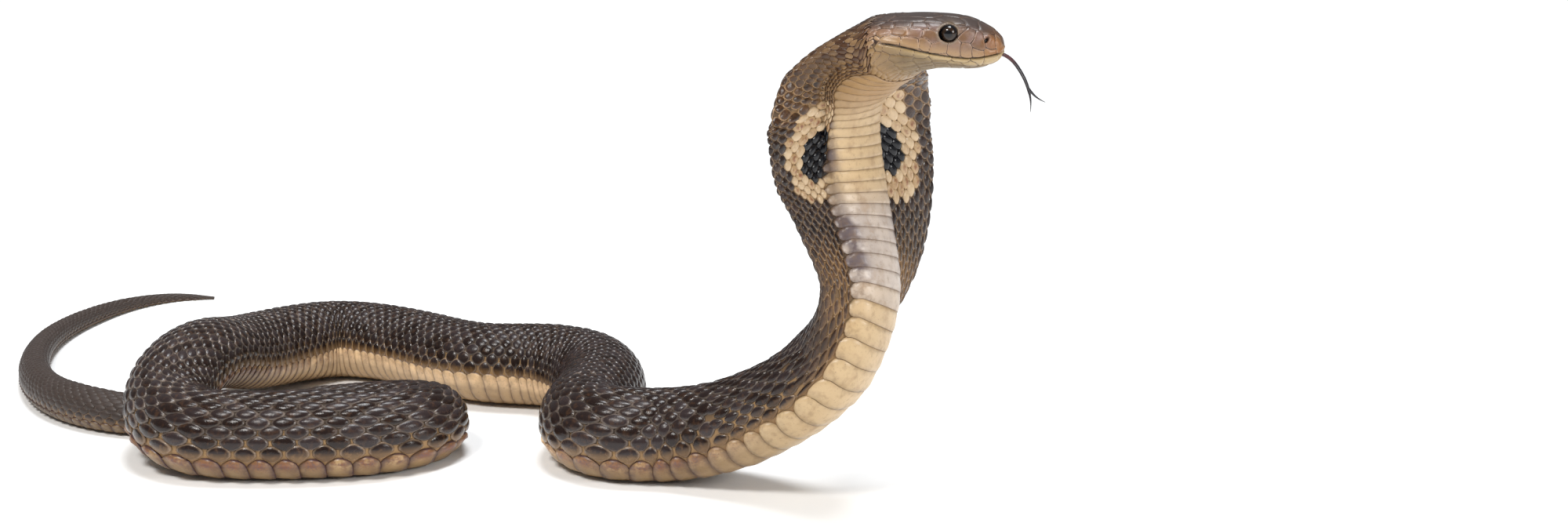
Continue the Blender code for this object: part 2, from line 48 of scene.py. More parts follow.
# Route of the body's axis from the tail tip to the snout, in millimetres:
# across, away, height of the belly over the floor, half width of the body.
# Places along the body are given below as stations, counted along this list from 0.
ROUTE = [
    (-303.0, 307.0, 0.0, 0.9), (-317.5, 304.9, 0.0, 2.1), (-336.0, 291.5, 0.0, 3.4),
    (-352.0, 260.5, 0.0, 4.7), (-360.5, 217.9, 0.0, 5.7), (-356.3, 168.6, 0.0, 6.8),
    (-341.5, 123.0, 0.0, 8.2), (-317.6, 87.0, 0.0, 9.6), (-285.5, 67.2, 0.0, 10.5),
    (-251.5, 62.4, 0.0, 11.0), (-215.5, 61.0, 0.0, 11.9), (-185.3, 59.6, 0.0, 13.1),
    (-161.7, 54.4, 0.0, 14.6), (-149.9, 40.5, 0.0, 16.1), (-155.0, 23.4, 0.0, 17.6),
    (-173.6, 11.9, 0.0, 18.8), (-198.2, 7.7, 0.0, 19.4), (-222.9, 7.4, 0.0, 19.5),
    (-244.8, 12.5, 1.4, 19.3), (-258.3, 30.3, 5.4, 19.0), (-260.2, 56.2, 14.4, 18.8),
    (-255.0, 83.0, 15.4, 19.1), (-248.2, 112.7, 7.0, 19.8), (-233.6, 143.0, 1.6, 20.0),
    (-210.6, 159.6, 0.0, 19.7), (-184.3, 153.6, 0.0, 19.2), (-158.0, 134.6, 0.0, 19.1),
    (-133.0, 117.4, 0.0, 19.5), (-106.6, 112.0, 0.0, 20.1), (-85.3, 95.7, 0.0, 20.2),
    (-79.9, 73.1, 0.0, 19.8), (-82.3, 47.6, 0.0, 19.6), (-82.3, 23.3, 0.0, 19.8),
    (-69.7, 8.0, 0.0, 20.3), (-48.1, 3.8, 0.2, 20.5), (-26.2, -4.1, 5.7, 20.2),
    (-6.2, -13.9, 17.2, 19.3), (11.2, -23.8, 32.2, 18.5), (24.6, -26.5, 50.1, 17.9),
    (31.6, -23.5, 68.3, 17.3), (31.0, -18.7, 86.8, 17.3), (27.8, -15.2, 106.4, 17.4),
    (25.0, -15.6, 126.0, 17.4), (24.5, -18.4, 141.6, 17.3), (28.4, -26.6, 154.2, 18.3),
    (36.8, -38.0, 164.4, 19.6), (49.2, -46.4, 169.0, 20.6), (65.2, -49.4, 168.5, 20.6),
    (82.1, -52.3, 167.0, 20.6),
]
ORIGIN_SHIFT = (134.1 * MM, -121.4 * MM)  # from the route's own zero to the object's
AXIS_SHARE = 0.90  # height of the axis over the belly, as a share of the half height
HEIGHT_SHARE = 0.96  # half height of a round body section against its half width
HEAD_FLATTENS = (41.0, 44.2, 0.70)  # stations where the neck flattens to the head's height share
PRESSED = ((8.9, 1.0, 0.27), (20.6, 2.2, 0.12))  # station, spread, loss of height at the crossing

# The way the back faces at stations: up on the floor, tilted on the back run so that some belly
# shows, behind the hood, and up again on the head.
BACK_WAYS = [
    (18.0, (0.0, 0.0, 1.0)), (24.0, (0.0, 0.36, 0.93)), (27.0, (0.05, 0.32, 0.95)),
    (30.0, (0.0, 0.1, 1.0)), (32.0, (0.0, 0.0, 1.0)), (33.5, (0.0, 0.0, 1.0)),
    (37.0, (-0.42, 0.34, 0.84)), (38.8, (-0.80, 0.54, 0.25)), (42.4, (-0.77, 0.64, 0.0)),
    (43.2, (-0.71, 0.64, 0.31)), (44.0, (-0.51, 0.86, 0.07)), (45.3, (0.0, 0.0, 1.0)),
]

# Hood: stations where it starts to spread, is full, starts to close and is closed.
HOOD_PLACES = (37.55, 41.9, 42.6, 45.65)
HOOD_GROWTH = 0.5  # power of the spread's start, under 1 for an early spread
HOOD_SKEW = 0.19  # how far the right wing reaches up the neck, and the left one down, to its width
HOOD_HALF_WIDTH = 49.4 * MM
HOOD_TIP_ANGLE = 60.0
WING_HALF_THICKNESS = 2.6 * MM
WING_CUP = 4.2 * MM
SPINE_RISE = (5.6 * MM, 16.0 * MM)
COLUMN_HALF_WIDTH = 17.0 * MM
COLUMN_DEPTH = 7.5 * MM
SCUTE_EDGE_ANGLE = 106.0  # angle from the middle of the back where the belly scutes end
SCUTE_LENGTHS = [(0, 4.0), (4, 4.4), (9, 5.6), (12, 8.0), (16, 9.8), (18.5, 9.2), (21.5, 5.2),
                 (30, 4.9), (32, 6.4), (34, 9.4), (36.5, 8.8), (39, 6.0), (41, 4.9), (43.6, 4.7),
                 (45, 5.6), (48, 5.8)]

# Head, back from the snout: place, half width, top, bottom, height of the mouth, in millimetres.
HEAD_PROFILE = [
    (0.3, 3.0, 1.8, -1.8, -0.7), (1.0, 5.0, 3.6, -3.4, -1.2), (2.2, 6.6, 5.1, -4.8, -1.6),
    (4.2, 8.2, 6.7, -6.0, -2.1), (7.2, 9.8, 8.2, -7.4, -2.9), (11.0, 11.2, 9.7, -8.3, -3.5),
    (15.7, 12.6, 10.7, -8.8, -3.7), (21.5, 14.2, 10.8, -9.2, -3.3), (28.0, 17.2, 10.5, -10.4, -1.9),
    (34.0, 19.8, 10.7, -11.6, 0.8), (40.0, 21.0, 11.6, -12.5, 3.2), (46.0, 20.6, 12.1, -13.1, 3.6),
    (52.0, 19.2, 11.4, -13.1, 3.6),
]
NOSE_ROUND = 0.3 * MM  # the last stretch of the snout, which closes as a dome
NECK_BLEND = (37.0 * MM, 48.0 * MM)
HEAD_ROUNDNESS = (2.7, 2.3)
MOUTH_CORNER = 37.0 * MM
HEAD_LENGTH = 45.0 * MM
SCALES_FROM = (44.0 * MM, 41.5 * MM)  # where the neck's scales begin, on the crown and on the cheeks
EYE_RADIUS = 3.2 * MM
EYE_PLACE = (20.8 * MM, 12.0 * MM, 5.3 * MM)  # behind the snout, to the side and over the axis
BROW_RIDGE = (1.0 * MM, 19.5 * MM, 6.0 * MM, 50.0, 15.0)  # rise, place and spread, angle and spread
NOSTRIL_PLACE = (6.0 * MM, 3.9 * MM)

# Stretches of the back: the station where each ends, its rows of scales, the scales to a belly
# scute, their shape and the material slot.
BACK_STRETCHES = [
    (2.4, 9, 1, "fine", "tail_skin"), (5.6, 11, 1, "fine", "tail_skin"), (10.5, 15, 1, "fine", "tail_skin"),
    (21.5, 17, 1, "bead", "body_skin"), (31.5, 19, 1, "brick", "body_skin"),
    (35.3, 17, 1, "bead", "body_skin"), (37.2, 25, 1, "narrow", "hood_skin"),
    (39.0, 35, 1, "narrow", "hood_skin"), (43.7, 49, 1, "narrow", "hood_skin"),
    (48.0, 51, 2, "slim", "hood_skin"),
]
BACK_START = 0.12  # stations where the first scales lie and past which there are none
BACK_END = 46.6
BODY_ROWS = (15, 25)  # counts of rows that the body has, between the tail and the hood

# Stretches of the belly: the stations where each starts and ends, its scutes' shape and the slot.
BELLY_STRETCHES = [
    (0.5, 12.0, "lobed", "tail_skin"), (12.0, 22.0, "lobed", "body_skin"), (22.0, 31.5, "even", "body_skin"),
    (31.5, 37.0, "lobed", "body_skin"), (37.0, None, "even", "hood_skin"),
]
LAST_SCUTE = 42.0 * MM  # behind the snout

LOWEST_ROW = 0.97  # how far down the rows of back scales go, against the scutes' edge
LOW_ROWS_GROW = 0.15  # how much wider the body's lowest rows are
SCUTE_REACH = 1.035  # how far a scute's ends go, against the scutes' edge
SCALE_SHARE = 0.27  # depth of the skin under the scales, against their size
HOOD_TIP_ROUND = 0.60  # place round the spread hood where its edge lies
THROAT_NARROWS = (0.26, (41.3, 43.6), (45.2, 46.2))  # share, and the stations where it sets in and ends
SIZE_SPREAD = 0.08  # how much the scales vary in size, and in turn, in radians
TURN_SPREAD = 0.10
HOOD_SPREAD = 1.3  # how much more both vary on the hood
LOWEST_SHORTER = 0.13  # how much shorter and narrower the body's lowest scales are in their cells
LOWEST_NARROWER = 0.04


def natural_spline(knots, values):
    """A function that gives a smooth curve through the values, with no bend at its ends."""
    knots = np.asarray(knots, float)
    values = np.asarray(values, float)
    steps = np.diff(knots)
    slopes = np.diff(values, axis=0) / (steps[:, None] if values.ndim > 1 else steps)
    size = len(knots)
    matrix = np.eye(size)
    right = np.zeros_like(values)
    for i in range(1, size - 1):
        matrix[i, i - 1:i + 2] = steps[i - 1], 2 * (steps[i - 1] + steps[i]), steps[i]
        right[i] = 6 * (slopes[i] - slopes[i - 1])
    bends = np.linalg.solve(matrix, right)

    def curve(at):
        at = np.asarray(at, float)
        i = np.clip(np.searchsorted(knots, at) - 1, 0, size - 2)
        step = steps[i]
        back = (knots[i + 1] - at) / step
        ahead = (at - knots[i]) / step
        if values.ndim > 1:
            step, back, ahead = step[..., None], back[..., None], ahead[..., None]
        return (back * values[i] + ahead * values[i + 1]
                + step ** 2 / 6 * ((back ** 3 - back) * bends[i] + (ahead ** 3 - ahead) * bends[i + 1]))

    return curve


def smooth_step(low, high, at):
    share = np.clip((np.asarray(at, float) - low) / (high - low), 0, 1)
    return share * share * (3 - 2 * share)


def plateau(at, rise, fall):
    """1 between two stretches, rising from 0 over the first and falling to 0 over the second."""
    return smooth_step(*rise, at) * (1 - smooth_step(*fall, at))


def bell(at, middle, spread):
    return np.exp(-((np.asarray(at, float) - middle) / spread) ** 2)


def pressed(station):
    """The share of its height that the body keeps where one length lies on another."""
    kept = 1.0
    for place, spread, loss in PRESSED:
        kept = kept * (1 - loss * bell(station, place, spread))
    return kept


def hood_section(angle):
    """The spread hood's section: a ridged back, thin cupped wings and the belly's raised column."""
    to_tip = np.clip(angle / HOOD_TIP_ANGLE, 0, 1)
    on_wing = np.clip((angle - HOOD_TIP_ANGLE) / (SCUTE_EDGE_ANGLE - HOOD_TIP_ANGLE), 0, 1)
    on_column = np.clip((angle - SCUTE_EDGE_ANGLE) / (180 - SCUTE_EDGE_ANGLE), 0, 1)
    side = np.where(
        angle <= HOOD_TIP_ANGLE,
        HOOD_HALF_WIDTH * np.sin(to_tip * math.pi / 2),
        np.where(
            angle <= SCUTE_EDGE_ANGLE,
            COLUMN_HALF_WIDTH + (HOOD_HALF_WIDTH - COLUMN_HALF_WIDTH) * np.cos(on_wing * math.pi / 2),
            COLUMN_HALF_WIDTH * np.cos(on_column * math.pi / 2)))
    outward = side / HOOD_HALF_WIDTH
    middle = 1.0 * MM - WING_CUP * outward ** 2
    thickness = WING_HALF_THICKNESS * np.sqrt(np.clip(1 - outward ** 4, 0, 1))
    ridge = SPINE_RISE[0] * bell(side, 0, SPINE_RISE[1])
    across_column = np.clip(1 - (side / COLUMN_HALF_WIDTH) ** 2, 0, 1)
    column = COLUMN_DEPTH * across_column ** 0.45 * (on_column > 0)
    up = np.where(angle <= HOOD_TIP_ANGLE, middle + thickness + ridge, middle - thickness - column)
    return side, up


class Snake:
    """The animal's surface, by length from the tail tip and by place round it.

    A place round is 0 on the middle of the back, 1 at the scutes' edge or the mouth on the right,
    2 on the middle of the belly, and the same with a minus on the left.
    """

    def __init__(self, samples=4000):
        rows = np.array(ROUTE, float) * MM
        points = rows[:, :3].copy()
        points[:, 2] += AXIS_SHARE * rows[:, 3] * HEIGHT_SHARE * pressed(np.arange(len(rows)))
        points[:, 0] += ORIGIN_SHIFT[0]
        points[:, 1] += ORIGIN_SHIFT[1]
        chords = np.concatenate([[0], np.cumsum(np.linalg.norm(np.diff(points, axis=0), axis=1))])
        fine = np.linspace(0, chords[-1], samples)
        axis = natural_spline(chords, points)(fine)
        self.places = np.concatenate([[0], np.cumsum(np.linalg.norm(np.diff(axis, axis=0), axis=1))])
        self.length = self.places[-1]
        self.axis = axis
        self.stations = np.interp(fine, chords, np.arange(len(rows)))
        self.width = natural_spline(chords, rows[:, 3])(fine)
        self.lift = np.maximum(natural_spline(chords, rows[:, 2])(fine), 0)
        tangents = np.gradient(axis, self.places, axis=0)
        self.tangents = tangents / np.linalg.norm(tangents, axis=1)[:, None]
        ways = np.array([way for _, way in BACK_WAYS])
        turns = [station for station, _ in BACK_WAYS]
        backs = np.stack([np.interp(self.stations, turns, ways[:, i]) for i in range(3)], axis=1)
        backs -= (backs * self.tangents).sum(1)[:, None] * self.tangents
        self.backs = backs / np.linalg.norm(backs, axis=1)[:, None]
        scute_stations = [station for station, _ in SCUTE_LENGTHS]
        lengths = [length * MM for _, length in SCUTE_LENGTHS]
        per_metre = 1 / np.interp(self.stations, scute_stations, lengths)
        steps = np.diff(self.places) * (per_metre[1:] + per_metre[:-1]) / 2
        self.scutes = np.concatenate([[0], np.cumsum(steps)])
        table = np.array(HEAD_PROFILE, float) * MM
        self.head_sizes = natural_spline(table[:, 0], table[:, 1:])
        self.measure_round()

    def measure_round(self, places_round=96):
        """Tables that turn a place round the body into an angle, and the girth of each half."""
        body = np.linspace(0, self.length - 56 * MM, 460)
        head = self.length - np.linspace(55.8 * MM, 0.002 * MM, 400)
        self.table_at = np.concatenate([body, head])
        angles = np.concatenate([np.linspace(0, 60, 121), np.linspace(60.3, 180, 300)])
        side, up = self.section(self.table_at[:, None], angles[None, :])
        run = np.hypot(np.diff(side, axis=1), np.diff(up, axis=1)).cumsum(axis=1)
        run = np.concatenate([np.zeros((len(run), 1)), run], axis=1)
        edges = self.edge_angle(self.table_at)
        self.round = np.linspace(0, 2, 2 * places_round + 1)
        self.angles = np.empty((len(run), len(self.round)))
        self.half_girth = np.empty(len(run))
        for i, (row, edge) in enumerate(zip(run, edges)):
            middle = np.interp(edge, angles, row)
            wanted = np.where(self.round <= 1, self.round * middle,
                              middle + (self.round - 1) * (row[-1] - middle))
            self.angles[i] = np.interp(wanted, row, angles)
            self.half_girth[i] = middle

    def read(self, table, at):
        if table.ndim == 1:
            return np.interp(at, self.places, table)
        return np.stack([np.interp(at, self.places, table[:, i]) for i in range(3)], axis=-1)

    def frame(self, at):
        """The axis point, the way ahead, the back's way and the animal's right, at each place."""
        ahead = self.read(self.tangents, at)
        ahead /= np.linalg.norm(ahead, axis=-1, keepdims=True)
        back = self.read(self.backs, at)
        back -= (back * ahead).sum(-1, keepdims=True) * ahead
        back /= np.linalg.norm(back, axis=-1, keepdims=True)
        return self.read(self.axis, at), ahead, back, np.cross(ahead, back)

    def station(self, at):
        return np.interp(at, self.places, self.stations)

    def place_of(self, station):
        return float(np.interp(station, self.stations, self.places))

    def scute_number(self, at):
        return np.interp(at, self.places, self.scutes)

    def scute_place(self, number):
        return np.interp(number, self.scutes, self.places)

    def scute_length(self, number):
        return self.scute_place(number + 0.5) - self.scute_place(number - 0.5)

    def girth(self, at):
        """Length round one side, from the middle of the back to the scutes' edge."""
        return np.interp(at, self.table_at, self.half_girth)

    def hood_share(self, at):
        start, full, closing, closed = HOOD_PLACES
        station = self.station(at)
        growth = smooth_step(start, full, station) ** HOOD_GROWTH
        return growth * (1 - smooth_step(closing, closed, station))

    def sizes_of_head(self, behind):
        """Half width, top, bottom and mouth height, closing as a dome at the snout."""
        dome = np.sqrt(np.clip(behind / NOSE_ROUND, 1e-6, 1))
        sizes = self.head_sizes(np.maximum(behind, NOSE_ROUND))
        return np.moveaxis(sizes, -1, 0) * dome

    def edge_angle(self, at):
        """The angle of the scutes' edge on the body and of the mouth on the head."""
        behind = self.length - at
        _, top, bottom, mouth = self.sizes_of_head(np.clip(behind, 0, HEAD_PROFILE[-1][0] * MM))
        over = np.degrees(np.arccos(np.clip(mouth / top, 0, 1) ** (HEAD_ROUNDNESS[0] / 2)))
        under = 180 - np.degrees(np.arccos(np.clip(mouth / bottom, 0, 1) ** (HEAD_ROUNDNESS[1] / 2)))
        mouth_angle = np.where(mouth > 0, over, under)
        blend = smooth_step(MOUTH_CORNER, HEAD_LENGTH + 3 * MM, behind)
        return mouth_angle + (SCUTE_EDGE_ANGLE - mouth_angle) * blend

    def body_section(self, at, angle):
        width = self.read(self.width, at)
        station = self.station(at)
        start, end, flat_share = HEAD_FLATTENS
        height = width * (HEIGHT_SHARE + smooth_step(start, end, station) * (flat_share - HEIGHT_SHARE))
        height = height * pressed(station)
        turn = np.radians(angle)
        squarer = np.where(angle > 90, 0.80, 1.0)
        side = width * np.abs(np.sin(turn)) ** squarer
        up = height * np.sign(np.cos(turn)) * np.abs(np.cos(turn)) ** squarer
        share = self.hood_share(at)
        hood_side, hood_up = hood_section(angle)
        return side + share * (hood_side - side), up + share * (hood_up - up)

    def section(self, at, angle):
        """Places to the side and towards the back, for an angle of 0 to 180 degrees."""
        at, angle = np.broadcast_arrays(np.asarray(at, float), np.asarray(angle, float))
        neck_side, neck_up = self.body_section(at, angle)
        behind = np.clip(self.length - at, 0, HEAD_PROFILE[-1][0] * MM)
        width, top, bottom, _ = self.sizes_of_head(behind)
        turn = np.radians(angle)
        upper, lower = (2 / value for value in HEAD_ROUNDNESS)
        power = np.where(angle > 90, lower, upper)
        side = width * np.abs(np.sin(turn)) ** power
        up = np.where(angle > 90, bottom, top) * np.abs(np.cos(turn)) ** power
        rise, place, spread, ridge_angle, ridge_spread = BROW_RIDGE
        ridge = rise * bell(behind, place, spread) * bell(angle, ridge_angle, ridge_spread)
        stretch = 1 + ridge / np.maximum(np.hypot(side, up), 0.1 * MM)
        share = smooth_step(*NECK_BLEND, self.length - at)
        return (side * stretch * (1 - share) + neck_side * share,
                up * stretch * (1 - share) + neck_up * share)

    def angle_of(self, at, around):
        """The angle for places round the body, with the sign of their side."""
        around = (around + 2) % 4 - 2
        row = np.interp(at, self.table_at, np.arange(len(self.table_at)))
        low = np.clip(row.astype(int), 0, len(self.table_at) - 2)
        share = row - low
        column = np.abs(around) * (len(self.round) - 1) / 2
        left = np.clip(column.astype(int), 0, len(self.round) - 2)
        part = column - left
        table = self.angles
        near = table[low, left] * (1 - part) + table[low, left + 1] * part
        far = table[low + 1, left] * (1 - part) + table[low + 1, left + 1] * part
        return np.where(around < 0, -1.0, 1.0), near * (1 - share) + far * share

    def bare_point(self, at, around):
        sign, angle = self.angle_of(at, around)
        centre, ahead, back, right = self.frame(at)
        side, up = self.section(at, angle)
        side = side * sign
        reach_up = HOOD_SKEW * self.hood_share(at) * side
        found = centre + side[..., None] * right + up[..., None] * back + reach_up[..., None] * ahead
        found[..., 2] = np.maximum(found[..., 2], self.read(self.lift, at))
        return found

    def normal(self, at, around):
        step = 0.15 * MM
        turn = 0.012
        ahead = np.minimum(at + step, self.length)
        along = self.bare_point(ahead, around) - self.bare_point(ahead - 2 * step, around)
        across = self.bare_point(at, around + turn) - self.bare_point(at, around - turn)
        found = np.cross(across, along)
        return found / np.maximum(np.linalg.norm(found, axis=-1, keepdims=True), 1e-12)

    def point(self, at, around, out=0.0):
        """A point of the surface, or the given distance out of it, kept over the floor."""
        at, around, out = np.broadcast_arrays(*(np.asarray(v, float) for v in (at, around, out)))
        at = np.clip(at, 0, self.length)
        found = self.bare_point(at, around) + self.normal(at, around) * out[..., None]
        found[..., 2] = np.maximum(found[..., 2], self.read(self.lift, at) + np.minimum(out, 0) * 0.3)
        return found


SNAKE = Snake()


def row_count(station):
    """Rows of scales round the back at a station."""
    ends = [stretch[0] for stretch in BACK_STRETCHES]
    counts = np.array([stretch[1] for stretch in BACK_STRETCHES])
    return counts[np.clip(np.searchsorted(ends, station), 0, len(counts) - 1)]


def row_place(row, rows):
    """The place round the body of a row, counted from the left edge: on the body the lowest are wider."""
    even = (row - (rows - 1) / 2) / (rows / 2)
    growth = LOW_ROWS_GROW if BODY_ROWS[0] <= rows <= BODY_ROWS[1] else 0.0
    return LOWEST_ROW * even * (1 - growth + growth * even ** 2)


def narrowing(at):
    """How much narrower the scutes are behind the head, where the hood's scales reach over the throat."""
    share, rise, fall = THROAT_NARROWS
    return share * plateau(SNAKE.station(at), rise, fall)


def cell_size(at):
    """The mean of a scale's length and width at a place, which its thickness follows."""
    length = SNAKE.scute_length(SNAKE.scute_number(at))
    width = 2 * SNAKE.girth(at) / row_count(SNAKE.station(at))
    return np.sqrt(length * width)


def inset(at, around):
    """How deep the skin lies under the scales' crowns: less at the hood's thin edge, and not on the head."""
    depth = SCALE_SHARE * cell_size(at)
    at_tip = bell(np.abs(around), HOOD_TIP_ROUND, 0.05) * SNAKE.hood_share(at)
    on_head = 1 - smooth_step(SCALES_FROM[1] - 1 * MM, SCALES_FROM[0] + 4 * MM, SNAKE.length - at)
    return depth * (1 - 0.75 * at_tip) * (1 - on_head)


# Markings

SPOT_STATION = 41.95
SPOT_SIZES = (12.0 * MM, 11.0 * MM)  # half width across the wing and half length
SPOT_FROM_COLUMN = 4.0 * MM
RING_SIZES = (20.5 * MM, 24.0 * MM)  # the same for the pale ring round it
RING_RISE = 2.6 * MM
SPOT_SQUARENESS = 2.7
SPECTACLE_STATION = 42.2  # the mark on the back of the hood
SPECTACLE_EYE = (17.0 * MM, 8.5 * MM, 4.8 * MM)  # place to the side, outer and inner radius
SPECTACLE_RISE = 6.0 * MM
SPECTACLE_BRIDGE = (3.0 * MM, 3.2 * MM)  # how far past the eyes it runs, and its half width

# Stations over which each colour sets in and, in a second pair, goes.
HOOD_COLOURS = ((37.6, 39.4), (44.6, 45.8))
UNDER_HOOD = ((37.0, 38.4), (39.2, 40.2))
HOOD_TOP = (42.2, 43.4)
NAPE = (43.9, 45.1)
THROAT_SCALES = (42.9, 43.9)
TAIL_ENDS = (7.0, 13.0)
TAIL_SIDES = (2.0, 6.0)
GREY_BAND = ((38.6, 39.3), (40.5, 41.4))
PALE_BELLY = ((21.5, 23.5), (31.5, 33.5))
BLOTCHED_BELLY = ((10.0, 12.0), (33.8, 36.8))
NECK_SCUTES = (34.5, 36.5)
THROAT_SCUTES = (42.6, 44.6)
TAIL_SCUTES = (6.0, 10.5)
OFF_FLOOR = (34.5, 37.0)


def oval(across, along, sizes):
    """Under 1 inside a rounded box of the given half sizes."""
    return (np.abs(across) / sizes[0]) ** SPOT_SQUARENESS + (np.abs(along) / sizes[1]) ** SPOT_SQUARENESS


def hood_marks(at, beside):
    """The hood's black spots and pale rings: round a spot in front, and as spectacles on the back."""
    girth = SNAKE.girth(at)
    from_column = (1 - beside) * girth
    along = at - SNAKE.place_of(SPOT_STATION)
    across = from_column - SPOT_FROM_COLUMN
    front = (beside < 1.05) & (beside > 0.5)
    spot = (oval(across, along, SPOT_SIZES) < 1) & front
    ring = (oval(across, along - RING_RISE, RING_SIZES) < 1) & front & ~spot
    from_back = beside * girth
    eye_side, outer, inner = SPECTACLE_EYE
    reach, half_width = SPECTACLE_BRIDGE
    up_hood = at - SNAKE.place_of(SPECTACLE_STATION)
    to_eye = np.hypot(from_back - eye_side, up_hood - SPECTACLE_RISE)
    on_back = beside < 0.55
    eye_ring = (to_eye < outer) & (to_eye > inner) & on_back
    bridge = np.abs(np.hypot(from_back, up_hood - SPECTACLE_RISE) - eye_side - reach) < half_width
    bridge = bridge & (up_hood < 3 * MM) & on_back
    return spot | ((to_eye <= inner) & on_back), ring | eye_ring | bridge


def markings(at, around):
    """Weights from 0 to 1 of each marking at places of the surface."""
    station = SNAKE.station(at)
    beside = np.abs(around)
    hood = plateau(station, *HOOD_COLOURS)
    spot, ring = hood_marks(at, beside)
    tan = 0.75 * smooth_step(0.76, 0.98, beside) * (1 - hood)
    base = bell(station, 39.0, 0.95) * smooth_step(0.55, 0.97, beside)
    throat = smooth_step(*THROAT_SCALES, station) * smooth_step(0.62, 0.95, beside)
    tan = np.maximum(tan, np.maximum(base, 0.85 * throat * (1 - spot)))
    nape = smooth_step(*NAPE, station) * smooth_step(0.30, 0.70, beside)
    top_of_hood = smooth_step(*HOOD_TOP, station) * smooth_step(0.30, 0.80, beside) * hood
    under_hood = plateau(station, *UNDER_HOOD) * smooth_step(0.45, 0.9, beside)
    warmth = np.clip(0.15 * hood + 0.5 * nape + 0.5 * top_of_hood + 0.5 * under_hood, 0, 1)
    dark = bell(station, 40.3, 0.55) * smooth_step(0.3, 0.8, beside)
    dark = np.maximum(dark, 0.45 * (beside < 0.99)) * hood
    tail_side = smooth_step(0.8, 0.97, beside) * smooth_step(*TAIL_SIDES, station)
    return {
        "spot": spot.astype(float), "ring": ring * hood, "tan": tan, "warmth": warmth, "gloom": dark,
        "gap": smooth_step(0.50, 0.80, beside) * (1 - hood), "nape": nape,
        "hood": hood * smooth_step(0.30, 0.60, beside), "belly": smooth_step(0.99, 1.03, beside),
        "tail": (1 - smooth_step(*TAIL_ENDS, station)) * (1 - tail_side),
    }


def scute_markings(at, around):
    """Weights for the belly scutes."""
    station = SNAKE.station(at)
    beside = 2 - np.abs(around)
    throat = smooth_step(*THROAT_SCUTES, station)
    neck = smooth_step(*NECK_SCUTES, station) * (1 - throat)
    smudge = smooth_step(0.62, 0.82, beside) * bell(station, 41.9, 0.35)
    smudge = smudge + bell(beside, 0.72, 0.16) * bell(station, 39.9, 0.75)
    smudge = smudge + smooth_step(0.66, 0.86, beside) * bell(station, 42.9, 0.45)
    smudge = smudge + 0.8 * smooth_step(0.66, 0.92, beside) * (neck + 0.6 * throat) * (station > 39)
    return {
        "grey": plateau(station, *GREY_BAND), "throat": throat, "neck": neck,
        "ends": smooth_step(0.55, 0.95, beside), "pale": plateau(station, *PALE_BELLY),
        "smudge": 0.6 * smudge, "tail": 1 - smooth_step(*TAIL_SCUTES, station),
    }


# Meshes

STRIPS = 7  # the body's unwrap is laid in strips one over another, with the head in a last one
UNWRAP_MARGIN = 0.02
PATCH = 0.0014  # size of a scale's patch in the unwrap, to a cell


def unwrapped(at, around, strip):
    """Places in the unwrap: along the body, folded in strips, and round it."""
    stretch = (SNAKE.length - HEAD_LENGTH) / STRIPS
    on_body = (at - strip * stretch) / stretch
    on_head = (at - STRIPS * stretch) / HEAD_LENGTH
    u = np.clip(np.where(strip < STRIPS, on_body, on_head), 0, 1)
    v = (strip + UNWRAP_MARGIN + (1 - 2 * UNWRAP_MARGIN) * (around + 2) / 4) / (STRIPS + 1)
    return UNWRAP_MARGIN + (1 - 2 * UNWRAP_MARGIN) * u, v


def strip_of(at):
    stretch = (SNAKE.length - HEAD_LENGTH) / STRIPS
    return np.clip((at / stretch).astype(int), 0, STRIPS)


def store(mesh, name, values):
    layer = mesh.attributes.new(name, "FLOAT", "POINT")
    layer.data.foreach_set("value", np.ascontiguousarray(values, np.float32))


def set_bake_map(mesh, corner_uv):
    layer = mesh.uv_layers.new(name="OFBake")
    layer.data.foreach_set("uv", np.ascontiguousarray(corner_uv, np.float32).ravel())


def corner_vertices(mesh):
    found = np.empty(len(mesh.loops), np.int64)
    mesh.loops.foreach_get("vertex_index", found)
    return found


def add_piece(name, mesh, slot, *nodes):
    """Puts a finished mesh in the scene as a piece that stands for the given nodes."""
    mesh.name = name
    mesh.shade_smooth()
    piece = bpy.data.objects.new(name, mesh)
    bpy.context.scene.collection.objects.link(piece)
    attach(piece, "root")
    if nodes:
        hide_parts(*nodes)
    return piece


# Shaders

class Value:
    """A number socket that takes part in sums, with numbers or with other sockets."""

    def __init__(self, shader, socket):
        self.shader = shader
        self.socket = socket

    def maths(self, operation, *others):
        inputs = {i: other for i, other in enumerate((self, *others))}
        return self.shader.node("ShaderNodeMath", {"operation": operation}, inputs)

    def __add__(self, other):
        return self.maths("ADD", other)

    __radd__ = __add__

    def __mul__(self, other):
        return self.maths("MULTIPLY", other)

    __rmul__ = __mul__

    def __sub__(self, other):
        return self.maths("SUBTRACT", other)

    def __rsub__(self, other):
        return self.shader.node("ShaderNodeMath", {"operation": "SUBTRACT"}, {0: other, 1: self})

    def clamp(self):
        return self.shader.node("ShaderNodeClamp", {}, {"Value": self})

    def between(self, low, high):
        """0 at low and 1 at high, smoothly."""
        return self.shader.node("ShaderNodeMapRange", {"interpolation_type": "SMOOTHSTEP"},
                                {"Value": self, "From Min": low, "From Max": high})


